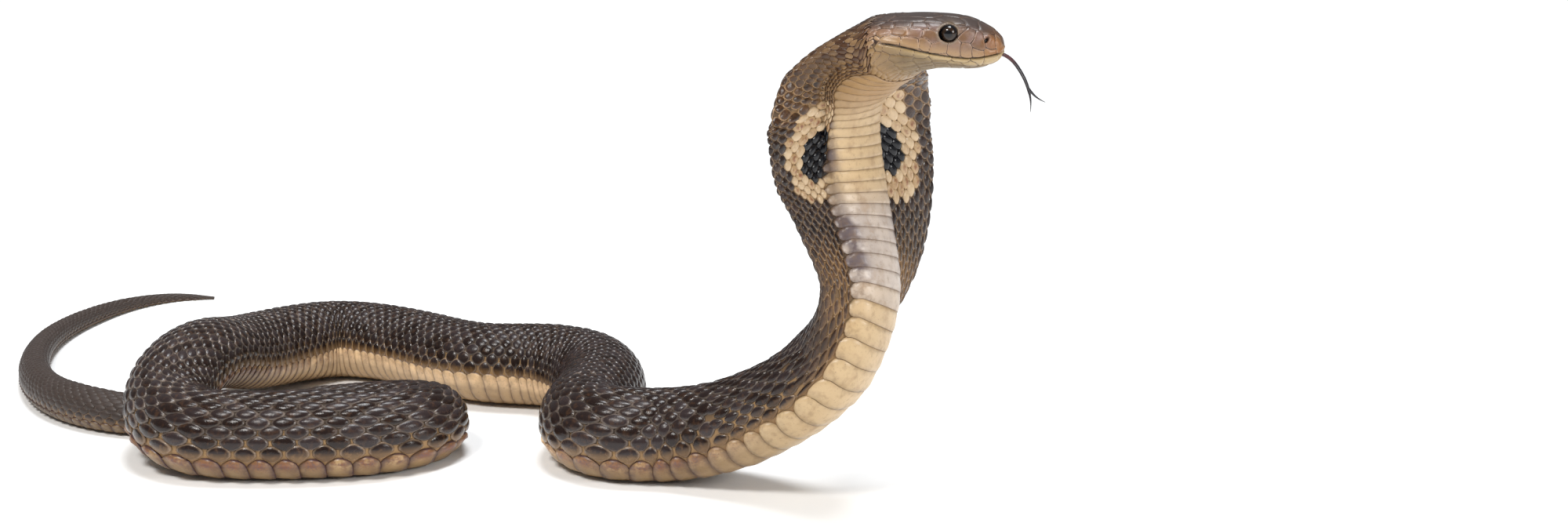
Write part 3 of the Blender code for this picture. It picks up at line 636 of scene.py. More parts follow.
class Shader:
    """A material's nodes, added by type with their settings first and then their sockets."""

    def __init__(self, name, **constants):
        self.material = bpy.data.materials.new(name)
        self.material.use_nodes = True
        self.tree = self.material.node_tree
        self.surface = self.tree.nodes["Principled BSDF"]
        self.base = None
        for socket, value in constants.items():
            self.surface.inputs[socket.replace("_", " ")].default_value = value

    def node(self, kind, settings, inputs, output=0):
        made = self.tree.nodes.new(kind)
        for name, value in settings.items():
            setattr(made, name, value)
        for name, value in inputs.items():
            self.put(made.inputs[name], value)
        return Value(self, made.outputs[output])

    def put(self, socket, value):
        if isinstance(value, Value):
            self.tree.links.new(value.socket, socket)
        elif isinstance(value, tuple) and len(value) == 3 and socket.type == "RGBA":
            socket.default_value = (*value, 1)
        else:
            socket.default_value = value

    def attribute(self, name):
        return self.node("ShaderNodeAttribute", {"attribute_name": name}, {}, output="Fac")

    def place(self):
        return self.node("ShaderNodeTexCoord", {}, {}, output="Object")

    def noise(self, scale, detail=3.0, roughness=0.55):
        return self.node("ShaderNodeTexNoise", {}, {"Vector": self.place(), "Scale": scale,
                                                    "Detail": detail, "Roughness": roughness})

    def mix(self, low, high, factor):
        """The colour low where factor is 0 and high where it is 1."""
        made = self.tree.nodes.new("ShaderNodeMix")
        made.data_type = "RGBA"
        for socket, value in ((made.inputs[0], factor), (made.inputs[6], low), (made.inputs[7], high)):
            self.put(socket, value)
        return Value(self, made.outputs[2])

    def lay(self, colour, share):
        """Lays a colour over the base colour, where its share is more than 0."""
        self.base = self.mix(self.base, colour, share)

    def set(self, socket, value):
        self.put(self.surface.inputs[socket], value)

    def bump(self, height, strength, distance):
        found = self.node("ShaderNodeBump", {}, {"Height": height, "Strength": strength,
                                                 "Distance": distance})
        self.set("Normal", found)


DARK_BROWN = (0.013, 0.0065, 0.0050)
SLATE = (0.028, 0.019, 0.019)
WARM_BROWN = (0.105, 0.048, 0.020)
BLACK = (0.004, 0.004, 0.006)
CREAM = (0.520, 0.385, 0.240)
TAN = (0.330, 0.190, 0.075)
OCHRE = (0.200, 0.105, 0.042)
RUST = (0.150, 0.040, 0.014)
# Rim colours of the back scales: partly their own paler edges, partly painted highlight.
EDGE_TAN = (0.330, 0.205, 0.105)
EDGE_GREY = (0.240, 0.190, 0.155)
SKIN_TAN = (0.300, 0.180, 0.080)
SKIN_DARK = (0.050, 0.030, 0.018)
BELLY_CREAM = (0.400, 0.260, 0.125)
BELLY_OLIVE = (0.190, 0.112, 0.045)
BELLY_PALE = (0.900, 0.620, 0.350)
NECK_CREAM = (0.520, 0.370, 0.205)
THROAT_TAN = (0.340, 0.200, 0.085)
GREY_WHITE = (0.500, 0.450, 0.430)
PURPLE_GREY = (0.075, 0.055, 0.068)
SEAM_BROWN = (0.060, 0.026, 0.016)
SEAM_PURPLE = (0.055, 0.026, 0.034)
SEAM_OCHRE = (0.150, 0.082, 0.032)
TAIL_GREY = (0.050, 0.036, 0.030)
HEAD_TAN = (0.140, 0.068, 0.027)
HEAD_MAUVE = (0.190, 0.120, 0.108)
HEAD_OCHRE = (0.215, 0.105, 0.034)
HEAD_BROWN = (0.070, 0.032, 0.016)
CROWN_BROWN = (0.040, 0.025, 0.020)
LIP_TAN = (0.330, 0.205, 0.100)
# Painted highlight colour for the head shields' raised rims.
SHIELD_RIM_HIGHLIGHT = (0.560, 0.360, 0.250)
NOSE_ORANGE = (0.220, 0.085, 0.018)
JAW_CREAM = (0.370, 0.260, 0.125)
JAW_OLIVE = (0.110, 0.068, 0.026)
EYE_RIM = (0.200, 0.150, 0.105)
# Painted shadow colour for the dip under the brow.
BROW_SHADOW_BROWN = (0.070, 0.038, 0.012)
HEAD_SEAM = (0.030, 0.012, 0.006)
PUPIL = (0.002, 0.002, 0.003)
IRIS = (0.020, 0.010, 0.005)
TONGUE_BLACK = (0.010, 0.007, 0.010)
TONGUE_ROOT = (0.085, 0.030, 0.032)
FLOOR_PALE = (0.90, 0.90, 0.895)
FLOOR_PALER = (0.94, 0.94, 0.935)


def back_scale_shader():
    shader = Shader("cobra_back_scales", Specular_IOR_Level=0.32, IOR=1.5)
    tone = shader.attribute("tone")
    rim = shader.attribute("rim")
    low = shader.attribute("low")
    warmth = shader.attribute("warmth")
    spot = shader.attribute("spot")
    ring = shader.attribute("ring")
    speckle = shader.noise(900.0)
    streak = shader.noise(420.0, 4.0)
    cloud = shader.noise(60.0, 2.0)
    shader.base = shader.mix(DARK_BROWN, SLATE, (tone * 1.4 + cloud * 0.6 - 0.6).clamp())
    worn = streak.between(0.48, 0.72) * (0.30 + 0.6 * warmth)
    shader.lay(WARM_BROWN, (worn + warmth * (0.35 + 0.7 * tone)).clamp())
    nape = shader.attribute("nape")
    neck = shader.mix(HEAD_BROWN, LIP_TAN, (tone * 1.1 + streak * 0.5 - 0.55).clamp())
    shader.lay(neck, nape * 0.85)
    shader.lay(BLACK, shader.attribute("gloom") * 0.6)
    lower = (low.between(-0.35, 0.45) * 1.1 + streak.between(0.5, 0.7) * 0.3 - 0.15).clamp()
    tan = shader.attribute("tan") * lower
    shader.lay(shader.mix(OCHRE, TAN, tone), tan.clamp())
    # Lighter rims round each scale: partly the scales' own paler edges, partly painted highlight.
    edge = rim.between(0.72, 0.94)
    hood_edge = 0.15 * shader.attribute("hood")
    edge_share = (0.24 + 0.40 * tone + 0.60 * warmth + 0.5 * shader.attribute("tan") + hood_edge).clamp()
    edge_colour = shader.mix(EDGE_GREY, EDGE_TAN, (warmth + shader.attribute("tan") + 2 * hood_edge).clamp())
    edge_colour = shader.mix(edge_colour, SEAM_BROWN, nape)
    shader.lay(edge_colour, edge * edge_share)
    cream = shader.mix(CREAM, TAN, ((tone - 0.45) * 0.9 + streak * 0.3).clamp())
    blot = (1 - rim).between(0.20, 0.75) * tone.between(0.35, 0.8) * streak.between(0.35, 0.6)
    cream = shader.mix(cream, RUST, blot * 0.85)
    shader.lay(cream, ring)
    shader.lay(BLACK, spot)
    shader.lay(TAIL_GREY, shader.attribute("tail") * 0.75)
    shader.lay(BLACK, (speckle - 0.55).clamp() * 0.9)
    shader.set("Base Color", shader.base)
    rough = 0.11 + 0.18 * streak + 0.08 * tone + 0.24 * shader.attribute("tail") - 0.04 * spot
    shader.set("Roughness", rough)
    shader.bump(shader.noise(2200.0, 2.0) + 0.8 * streak, 0.16, 0.0005)
    return shader.material


def belly_scute_shader():
    shader = Shader("cobra_belly_scutes", Specular_IOR_Level=0.5, IOR=1.48)
    tone = shader.attribute("tone")
    rim = shader.attribute("rim")
    ends = shader.attribute("ends")
    grey = shader.attribute("grey")
    cloud = shader.noise(140.0, 4.0)
    streak = shader.noise(330.0, 4.0)
    fine = shader.noise(1100.0, 3.0)
    olive = (cloud.between(0.35, 0.7) * 0.75 + tone * 0.25 - 0.1).clamp()
    shader.base = shader.mix(BELLY_CREAM, BELLY_OLIVE, olive)
    shader.lay(BELLY_PALE, shader.attribute("pale") * 0.85)
    shader.lay(BELLY_OLIVE, shader.attribute("pale") * cloud.between(0.45, 0.7) * 0.35)
    shader.lay(NECK_CREAM, shader.attribute("neck"))
    shader.lay(THROAT_TAN, shader.attribute("throat"))
    shader.lay(GREY_WHITE, grey * (0.55 + 0.4 * cloud))
    smudge = grey * ((ends + 0.25).clamp() * shader.noise(70.0, 2.0).between(0.44, 0.60)) * 0.8
    smudge = smudge + shader.attribute("smudge") * (0.5 * tone + streak).between(0.40, 0.80)
    shader.lay(PURPLE_GREY, smudge.clamp() * 0.9)
    column = (shader.attribute("neck") + shader.attribute("throat")).clamp()
    shader.lay(BELLY_OLIVE, column * streak.between(0.50, 0.74) * 0.35)
    shader.lay(LIP_TAN, column * cloud.between(0.48, 0.72) * 0.45)
    blot = shader.attribute("blotch") * (0.35 * tone + streak + 0.5 * cloud).between(0.62, 0.86)
    shader.lay(RUST, blot)
    shader.lay(PURPLE_GREY, blot * fine.between(0.46, 0.60) * 0.7)
    # Painted shade: the middle of the belly that lies on the floor is darkened towards olive.
    shader.lay(BELLY_OLIVE, shader.attribute("painted_floor_shade") * 0.6)
    shader.lay(TAIL_GREY, shader.attribute("tail") * (0.25 + 0.7 * ends).clamp())
    warm_seam = shader.attribute("neck") + shader.attribute("throat") + grey * 0.6
    dark_seam = shader.mix(SEAM_PURPLE, SEAM_OCHRE, warm_seam.clamp() * 0.85)
    # A broad darker band along the scutes' seams: partly their own colour, partly painted shade, stronger
    # where the belly lies on the floor.
    seam_colour_and_shade = shader.attribute("seam_colour_and_shade") * (1 - 0.5 * shader.attribute("pale"))
    shader.lay(dark_seam, seam_colour_and_shade * (0.42 + 0.5 * streak.between(0.35, 0.65)))
    shader.lay(dark_seam, rim.between(0.82, 1.0) * 0.9)
    shader.lay(SEAM_BROWN, (fine - 0.60).clamp() * 2.2)
    shader.set("Base Color", shader.base)
    shader.set("Roughness", 0.28 + 0.22 * streak)
    shader.bump(fine + 0.8 * streak, 0.12, 0.0005)
    return shader.material


def bare_skin_shader():
    """The skin that shows between scales."""
    shader = Shader("cobra_bare_skin", Specular_IOR_Level=0.35)
    cloud = shader.noise(55.0, 3.0)
    fine = shader.noise(1500.0, 3.0)
    clouded = cloud.between(0.40, 0.70) * (0.45 - 0.3 * shader.attribute("hood"))
    tan = clouded + shader.attribute("gap") * 0.8 + shader.attribute("warmth") * 0.3
    shader.base = shader.mix(SKIN_DARK, SKIN_TAN, (tan + shader.attribute("ring")).clamp())
    shader.lay(BLACK, (shader.attribute("spot") + shader.attribute("gloom") * 0.7).clamp())
    shader.lay(OCHRE, shader.attribute("belly") * 0.7)
    shader.lay(TAIL_GREY, shader.attribute("tail") * 0.8)
    shader.set("Base Color", shader.base)
    shader.set("Roughness", 0.5 + 0.2 * fine)
    shader.bump(fine, 0.3, 0.0003)
    return shader.material


def head_shader():
    shader = Shader("cobra_head_shields", Specular_IOR_Level=0.5, IOR=1.5)
    seam = shader.attribute("seam")
    tone = shader.attribute("tone")
    jaw = shader.attribute("jaw")
    lip = shader.attribute("lip")
    cloud = shader.noise(170.0, 4.0)
    streak = shader.noise(420.0, 4.0)
    fine = shader.noise(1500.0, 3.0)
    tanned = (tone * 0.6 + cloud.between(0.35, 0.65) * 0.6 - 0.1).clamp()
    shader.base = shader.mix(HEAD_MAUVE, HEAD_TAN, tanned)
    shader.lay(HEAD_OCHRE, shader.attribute("cheek") * (0.35 + 0.5 * cloud))
    shader.lay(HEAD_BROWN, streak.between(0.50, 0.75) * 0.45)
    crown = (shader.attribute("crown") * (0.75 + 0.5 * cloud)).clamp()
    shader.lay(CROWN_BROWN, crown)
    shader.lay(LIP_TAN, lip * (0.55 + 0.5 * cloud))
    shader.lay(NOSE_ORANGE, shader.attribute("nose") * (0.6 + 0.4 * cloud.between(0.4, 0.6)))
    shader.lay(JAW_CREAM, jaw)
    shader.lay(JAW_OLIVE, shader.attribute("olive") * (0.45 + 0.6 * cloud + 0.2 * tone))
    shader.lay(THROAT_TAN, shader.attribute("throat") * 0.8)
    shader.lay(EYE_RIM, shader.attribute("eye_rim") * 0.75)
    # Painted shadow under the brow, in the dip over the eye.
    shader.lay(BROW_SHADOW_BROWN, shader.attribute("shadowed_hollow") * 0.85)
    # Painted highlight: a pinkish sheen on each shield's raised rim beside its seam, weaker on the jaw and
    # the crown.
    edge = seam.between(0.10, 0.45) * (1 - seam.between(0.50, 0.80))
    shader.lay(SHIELD_RIM_HIGHLIGHT, edge * (0.40 - 0.28 * jaw - 0.25 * crown) * streak.between(0.30, 0.62))
    shader.lay(HEAD_SEAM, seam.between(0.50, 0.90) * shader.attribute("seam_dark"))
    # Painted shade: black in the nostrils, the mouth groove, the eye sockets and the tongue notch.
    shader.lay(BLACK, shader.attribute("pit"))
    shader.lay(HEAD_SEAM, (fine - 0.6).clamp() * 1.5)
    shader.set("Base Color", shader.base)
    shader.set("Roughness", 0.24 + 0.20 * streak + 0.10 * cloud)
    shader.bump(fine + streak, 0.16, 0.0005)
    return shader.material


def eye_shader():
    shader = Shader("cobra_eye", Roughness=0.17, Specular_IOR_Level=0.38)
    shader.set("Base Color", shader.mix(PUPIL, IRIS, shader.attribute("iris")))
    return shader.material


def tongue_shader():
    shader = Shader("cobra_tongue", Specular_IOR_Level=0.6)
    shader.set("Base Color", shader.mix(TONGUE_BLACK, TONGUE_ROOT, shader.attribute("root")))
    shader.set("Roughness", 0.25 + 0.15 * shader.noise(1500.0))
    return shader.material


# Scales, laid in rows by Geometry Nodes and wrapped on the body

class Tree:
    """The nodes of a Geometry Nodes tree, added by type, settings and sockets."""

    def __init__(self, name, inputs):
        self.tree = bpy.data.node_groups.new(name, "GeometryNodeTree")
        self.tree.is_modifier = True
        self.tree.interface.new_socket("Geometry", in_out="INPUT", socket_type="NodeSocketGeometry")
        self.tree.interface.new_socket("Geometry", in_out="OUTPUT", socket_type="NodeSocketGeometry")
        self.identifiers = {}
        for label, kind in inputs:
            socket = self.tree.interface.new_socket(label, in_out="INPUT", socket_type=kind)
            self.identifiers[label] = socket.identifier
        self.given = self.tree.nodes.new("NodeGroupInput")

    def add(self, kind, settings, inputs):
        made = self.tree.nodes.new(kind)
        for name, value in settings.items():
            setattr(made, name, value)
        for name, value in inputs.items():
            if isinstance(value, bpy.types.NodeSocket):
                self.tree.links.new(value, made.inputs[name])
            else:
                made.inputs[name].default_value = value
        return made

    def maths(self, operation, *values):
        return self.add("ShaderNodeMath", {"operation": operation}, dict(enumerate(values))).outputs[0]

    def position(self):
        """The points' places, as three numbers."""
        place = self.add("GeometryNodeInputPosition", {}, {}).outputs[0]
        return self.add("ShaderNodeSeparateXYZ", {}, {0: place}).outputs

    def vector(self, x, y, z):
        return self.add("ShaderNodeCombineXYZ", {}, {0: x, 1: y, 2: z}).outputs[0]

    def keep(self, points, name, value):
        """The points with a number stored on them."""
        return self.add("GeometryNodeStoreNamedAttribute", {"data_type": "FLOAT", "domain": "POINT"},
                        {"Geometry": points, "Name": name, "Value": value}).outputs[0]


def rows_tree():
    """Lays the shape it is given in rows, every second row half a step on, each a little its own."""
    tree = Tree("scale_rows", [
        ("Columns", "NodeSocketInt"), ("Rows", "NodeSocketInt"), ("Size Spread", "NodeSocketFloat"),
        ("Turn Spread", "NodeSocketFloat"), ("Seed", "NodeSocketInt"), ("Material", "NodeSocketMaterial")])
    given = tree.given.outputs
    last_column = tree.maths("SUBTRACT", given["Columns"], 1.0)
    last_row = tree.maths("SUBTRACT", given["Rows"], 1.0)
    grid = tree.add("GeometryNodeMeshGrid", {}, {
        "Size X": last_column, "Size Y": last_row, "Vertices X": given["Columns"],
        "Vertices Y": given["Rows"]}).outputs["Mesh"]
    place = tree.position()
    row = tree.maths("ROUND", tree.maths("ADD", place[1], tree.maths("MULTIPLY", last_row, 0.5)))
    column = tree.maths("ROUND", tree.maths("ADD", place[0], tree.maths("MULTIPLY", last_column, 0.5)))
    half_step = tree.maths("MULTIPLY", tree.maths("FLOORED_MODULO", row, 2.0), 0.5)
    lattice = tree.vector(tree.maths("ADD", column, half_step), row, 0.0)
    points = tree.add("GeometryNodeSetPosition", {}, {"Geometry": grid, "Position": lattice}).outputs[0]
    points = tree.add("GeometryNodeMeshToPoints", {}, {"Mesh": points}).outputs[0]
    moved = tree.position()
    points = tree.keep(tree.keep(points, "column", moved[0]), "row", moved[1])
    tone = tree.add("FunctionNodeRandomValue", {"data_type": "FLOAT"}, {"Seed": given["Seed"]}).outputs[1]
    points = tree.keep(points, "tone", tone)
    high = tree.maths("ADD", given["Size Spread"], 1.0)
    low = tree.maths("SUBTRACT", 1.0, given["Size Spread"])
    size = tree.add("FunctionNodeRandomValue", {"data_type": "FLOAT_VECTOR"}, {
        "Seed": tree.maths("ADD", given["Seed"], 1.0),
        "Min": tree.vector(low, low, low), "Max": tree.vector(high, high, high)}).outputs[0]
    turn = tree.add("FunctionNodeRandomValue", {"data_type": "FLOAT"}, {
        "Seed": tree.maths("ADD", given["Seed"], 2.0),
        2: tree.maths("MULTIPLY", given["Turn Spread"], -1.0), 3: given["Turn Spread"]}).outputs[1]
    turned = tree.vector(0.0, 0.0, turn)
    laid = tree.add("GeometryNodeInstanceOnPoints", {}, {
        "Points": points, "Instance": given["Geometry"], "Rotation": turned, "Scale": size}).outputs[0]
    real = tree.add("GeometryNodeRealizeInstances", {}, {0: laid}).outputs[0]
    dressed = tree.add("GeometryNodeSetMaterial", {},
                       {"Geometry": real, "Material": given["Material"]}).outputs[0]
    tree.add("NodeGroupOutput", {}, {0: dressed})
    return tree


ROWS = rows_tree()


def laid_rows(shape, columns, rows, size_spread, turn_spread, seed, material):
    """The shape repeated in rows, as one flat mesh counted in columns and rows."""
    holder = bpy.data.objects.new("rows", shape)
    bpy.context.scene.collection.objects.link(holder)
    change = holder.modifiers.new("rows", "NODES")
    change.node_group = ROWS.tree
    values = {"Columns": columns, "Rows": rows, "Size Spread": size_spread, "Turn Spread": turn_spread,
              "Seed": seed, "Material": material}
    for label, value in values.items():
        change[ROWS.identifiers[label]] = value
    graph = bpy.context.evaluated_depsgraph_get()
    mesh = bpy.data.meshes.new_from_object(holder.evaluated_get(graph))
    bpy.data.objects.remove(holder, do_unlink=True)
    return mesh


def read_values(mesh, name):
    found = np.empty(len(mesh.vertices), np.float32)
    mesh.attributes[name].data.foreach_get("value", found)
    return found.astype(float)


def read_points(mesh):
    found = np.empty(len(mesh.vertices) * 3, np.float32)
    mesh.vertices.foreach_get("co", found)
    return found.reshape(-1, 3).astype(float)


def finished(work, name):
    """The mesh of a closed shape, with its faces turned outwards."""
    bmesh.ops.recalc_face_normals(work, faces=work.faces)
    data = bpy.data.meshes.new(name)
    work.to_mesh(data)
    work.free()
    return data


def closed_shape(rings, crown):
    """A closed mesh from a crown point, rings round it and a flat underside.

    Each ring is its points and their place from the crown, 0, to the rim, 1.
    """
    mesh = bmesh.new()
    rim = mesh.verts.layers.float.new("rim")
    top = mesh.verts.new(crown)
    rows = []
    for points, share in rings:
        row = [mesh.verts.new(point) for point in points]
        for vert in row:
            vert[rim] = share
        rows.append(row)
    count = len(rows[0])
    for i in range(count):
        j = (i + 1) % count
        mesh.faces.new((top, rows[0][i], rows[0][j]))
        for inner, outer in zip(rows, rows[1:]):
            mesh.faces.new((inner[i], outer[i], outer[j], inner[j]))
    mesh.faces.new(rows[-1][::-1])
    return finished(mesh, "scale")


def scale_shape(reach, roundness, crown, tilt, edge, sides=12):
    """One back scale in cells, x towards the head: an oval with its free end raised."""
    turns = (np.arange(sides) + 0.5) * 2 * math.pi / sides
    power = 2 / roundness
    x = reach[0] * np.sign(np.cos(turns)) * np.abs(np.cos(turns)) ** power
    y = reach[1] * np.sign(np.sin(turns)) * np.abs(np.sin(turns)) ** power
    rings = []
    for share, height in ((0.40, 0.93), (0.70, 0.70), (0.90, 0.36), (1.0, 0.0)):
        z = edge + crown * height - tilt * x * share
        rings.append((np.stack([x * share, y * share, z], axis=1), share))
    under = np.stack([x * 0.97, y * 0.97, np.full(sides, -edge) - tilt * x * 0.5], axis=1)
    rings.append((under, 1.0))
    return closed_shape(rings, (0.0, 0.0, edge + crown))


def scute_shape(end_squareness, end_lean, end_swell, columns=4, rows=24, rise=0.085, edge=0.03):
    """One belly scute in cells: x towards the head, y from -1 to 1 round the belly.

    Its ends are rounder for a lower squareness, lean back from the head and swell.
    """
    mesh = bmesh.new()
    rim = mesh.verts.layers.float.new("rim")
    spots = np.linspace(0, 1, columns + 1) ** 0.8
    rings = []
    for y in np.sin(np.linspace(-1, 1, rows + 1) * math.pi / 2):
        half = 0.55 * max(1 - abs(y) ** end_squareness, 0.012) ** 0.5
        x = half * (1 - 2 * spots) - end_lean * smooth_step(0.80, 1.0, abs(y))
        swell = end_swell * bell(abs(y), 0.93, 0.06) * np.sin(math.pi * spots)
        z = edge + (rise * spots + swell) * (1 - 0.65 * smooth_step(0.9, 1.0, spots)) * (abs(y) < 0.999)
        near_rim = np.maximum(smooth_step(0.82, 1.0, spots), 0.9 * smooth_step(0.2, 0.0, spots))
        near_rim = np.maximum(near_rim, smooth_step(0.94, 1.0, abs(y)))
        corners = list(zip(x, z, near_rim)) + [(x[-1], -edge, 1.0), (x[0], -edge, 1.0)]
        ring = [mesh.verts.new((place, y * SCUTE_REACH, height)) for place, height, _ in corners]
        for vert, (_, _, share) in zip(ring, corners):
            vert[rim] = share
        rings.append(ring)
    for low, high in zip(rings, rings[1:]):
        for i in range(len(low)):
            j = (i + 1) % len(low)
            mesh.faces.new((low[i], low[j], high[j], high[i]))
    mesh.faces.new(rings[0])
    mesh.faces.new(rings[-1][::-1])
    return finished(mesh, "scute")


def patch_map(mesh, at, around, local):
    """The bake map: each scale is a small patch at its root's place on the skin's unwrap."""
    u, v = unwrapped(at, around, strip_of(at))
    uv = np.stack([u + local[:, 0] * PATCH, v + local[:, 1] * PATCH], axis=1)
    set_bake_map(mesh, uv[corner_vertices(mesh)])


def keep_faces(mesh, keep):
    """Drops the vertices that aren't kept, with their faces."""
    work = bmesh.new()
    work.from_mesh(mesh)
    gone = [vert for vert, kept in zip(work.verts, keep) if not kept]
    bmesh.ops.delete(work, geom=gone, context="VERTS")
    work.to_mesh(mesh)
    work.free()


def lie(mesh, first, finer, rows):
    """Each vertex's root, in scutes from the tail and round the back, from its column and row."""
    number = first + read_values(mesh, "column") / finer
    return number, row_place(read_values(mesh, "row"), rows)


def scute_span(start, end):
    """The first and the last scute's number between two stations."""
    return [round(float(SNAKE.scute_number(SNAKE.place_of(station)))) for station in (start, end)]


def back_scales(name, start, end, rows, finer, seed, material, slot, shape):
    """The scales of one stretch of the back, between two stations, some of them finer than the scutes."""
    first, last = scute_span(start, end)
    loose = HOOD_SPREAD if rows > BODY_ROWS[1] else 1.0
    mesh = laid_rows(shape, (last - first) * finer, rows, SIZE_SPREAD * loose, TURN_SPREAD * loose,
                     seed, material)
    root_number, root_around = lie(mesh, first, finer, rows)
    crown_limit, cheek_limit = SCALES_FROM
    limit = crown_limit + (cheek_limit - crown_limit) * smooth_step(0.15, 0.45, np.abs(root_around))
    keep_faces(mesh, SNAKE.length - SNAKE.scute_place(root_number) > limit)
    root_number, root_around = lie(mesh, first, finer, rows)
    root_at = SNAKE.scute_place(root_number)
    row = read_values(mesh, "row")
    local = read_points(mesh)
    local[:, 0] -= read_values(mesh, "column")
    local[:, 1] -= row
    lower = smooth_step(0.40, 0.92, np.abs(root_around)) * (rows <= BODY_ROWS[1])
    at = SNAKE.scute_place(root_number + local[:, 0] / finer * (1 - LOWEST_SHORTER * lower))
    around = row_place(row + local[:, 1] * (1 - LOWEST_NARROWER * lower), rows)
    around = around + np.sign(around) * narrowing(at) * smooth_step(0.55, 1.0, np.abs(around))
    size = cell_size(root_at) / math.sqrt(finer)
    points = SNAKE.point(at, around, local[:, 2] * size - inset(at, around))
    mesh.vertices.foreach_set("co", points.astype(np.float32).ravel())
    for label, values in markings(root_at, root_around).items():
        store(mesh, label, values)
    store(mesh, "low", local[:, 1] * np.sign(root_around))
    patch_map(mesh, root_at, root_around, local)
    mesh.update()
    return add_piece(name, mesh, slot)


def belly_scutes(name, start, end, seed, material, slot, shape):
    """The scutes of one stretch of the belly."""
    first, last = scute_span(start, end)
    mesh = laid_rows(shape, last - first, 1, 0.0, 0.0, seed, material)
    local = read_points(mesh)
    column = read_values(mesh, "column")
    local[:, 0] -= column
    root_at = SNAKE.scute_place(first + 0.5 + column)
    at = SNAKE.scute_place(first + 0.5 + column + local[:, 0])
    around = 2 - local[:, 1] * (1 - narrowing(at))
    around = np.where(around > 2, around - 4, around)
    size = SNAKE.scute_length(SNAKE.scute_number(root_at))
    points = SNAKE.point(at, around, local[:, 2] * size - inset(at, around))
    mesh.vertices.foreach_set("co", points.astype(np.float32).ravel())
    for label, values in scute_markings(root_at, around).items():
        store(mesh, label, values)
    along, across = np.abs(local[:, 0]), np.abs(local[:, 1])
    station = SNAKE.station(root_at)
    blotched = plateau(station, *BLOTCHED_BELLY) * (1 - 0.8 * bell(station, 27.0, 4.0))
    on_floor = 1 - smooth_step(*OFF_FLOOR, station)
    store(mesh, "blotch", bell(along, 0.0, 0.38) * bell(across, 0.93, 0.13) * blotched)
    # Darker band along the seams: partly the scutes' own colour, partly painted shade, stronger on the
    # floor.
    store(mesh, "seam_colour_and_shade", smooth_step(0.20, 0.48, along) * (0.4 + 0.6 * on_floor))
    # Painted shade over the middle of each scute where the belly lies on the floor.
    store(mesh, "painted_floor_shade", (1 - smooth_step(0.72, 0.90, across)) * on_floor)
    patch_map(mesh, root_at, np.full(len(around), 1.98), local * np.array([1, 0.3, 1]))
    mesh.update()
    return add_piece(name, mesh, slot)


# Head shields: for one side, each as a line between two points of the head, in millimetres.
# A point is its place behind the snout and its height over the head's axis on the flank, the drop
# below the mouth on the jaw, or the place to the side on the crown and under the chin.
FLANK_SHIELDS = [
    ((14.6, 5.6), (11.8, 5.5)), ((9.6, 4.9), (8.3, 1.6)), ((5.2, 4.6), (4.0, 1.8)),
    ((26.4, 8.2), (24.8, 7.4)), ((27.6, 4.9), (25.0, 3.9)), ((31.2, 5.7), (29.2, 5.5)),
    ((30.3, 8.2), (28.4, 7.8)), ((34.2, 8.8), (32.4, 8.4)), ((34.2, 6.2), (32.6, 6.0)),
    ((37.6, 9.0), (36.0, 8.6)), ((38.0, 6.6), (36.4, 6.2)), ((17.0, 7.4), (16.2, 6.9)),
]
LIP_SHIELDS = [
    ((36.2, 3.9), (34.2, 3.2)), ((32.2, 2.4), (30.2, 1.4)), ((28.0, 2.0), (27.4, 0.2)),
    ((25.0, -0.8), (22.4, 0.4)), ((18.6, 0.6), (17.8, -1.8)), ((13.4, -0.6), (12.8, -2.0)),
    ((9.2, -1.2), (8.2, -1.6)), ((4.8, -0.9), (3.6, -0.8)), ((1.3, 2.6), (0.9, 0.4)),
    ((40.2, 4.9), (39.0, 4.5)),
]
CROWN_SHIELDS = [
    ((8.4, 2.6), (7.2, 5.8)), ((13.2, 2.8), (12.2, 7.2)), ((22.6, 0.0), (15.6, 0.0)),
    ((24.2, 7.4), (17.8, 9.6)), ((36.0, 4.4), (26.8, 4.8)), ((26.4, 10.4), (25.6, 10.3)),
    ((35.6, 10.4), (30.6, 10.2)),
]
JAW_SHIELDS = [
    ((5.0, -1.3), (3.4, -1.2)), ((10.0, -1.2), (7.8, -1.1)), ((17.2, -1.3), (13.0, -1.3)),
    ((25.0, -1.5), (20.4, -1.4)), ((29.4, -1.4), (28.0, -1.4)), ((32.4, -1.6), (31.4, -1.6)),
    ((36.0, -1.6), (34.4, -1.4)), ((39.8, -1.8), (38.6, -1.7)),
]
CHIN_SHIELDS = [((8.0, 2.6), (13.0, 2.8)), ((16.0, 3.0), (22.5, 3.4))]
THROAT_ROWS = (1.20, 1.98, 0.098)  # places round the head: first, end, step
THROAT_ROW_STARTS = (12.0, 14.0, 16.5, 19.0, 23.5, 26.5, 27.5, 27.0)  # behind the snout, in millimetres
THROAT_STEP = 5.4
SMALL_SCALES_END = 51.0
NECK_RINGS = (39.8, 42.4, 45.0, 47.6, 50.2)
NECK_STEP = 0.11  # round the head


def small_scales():
    """The small scales of the throat and the neck: each one's place behind the snout and round the head."""
    for row, around in enumerate(np.arange(*THROAT_ROWS)):
        first = THROAT_ROW_STARTS[row] + THROAT_STEP / 2 * (row % 2)
        for behind in np.arange(first, SMALL_SCALES_END, THROAT_STEP):
            yield behind, around
    for row, behind in enumerate(NECK_RINGS):
        for around in np.arange(0.0 if row % 2 else NECK_STEP / 2, 1.2, NECK_STEP):
            yield behind + 1.2 * smooth_step(0.5, 1.0, around), around


def head_point(behind, side, up):
    """The point of the head at a place behind the snout, to the side and over the axis."""
    centre, _, back, right = SNAKE.frame(SNAKE.length - behind)
    return centre + side * right + up * back


def on_flank(behind, up):
    width, top, bottom, _ = SNAKE.sizes_of_head(behind)
    reach, power = (top, HEAD_ROUNDNESS[0]) if up > 0 else (bottom, HEAD_ROUNDNESS[1])
    side = width * max(1 - abs(up / reach) ** power, 0.02) ** (1 / power)
    return side, up


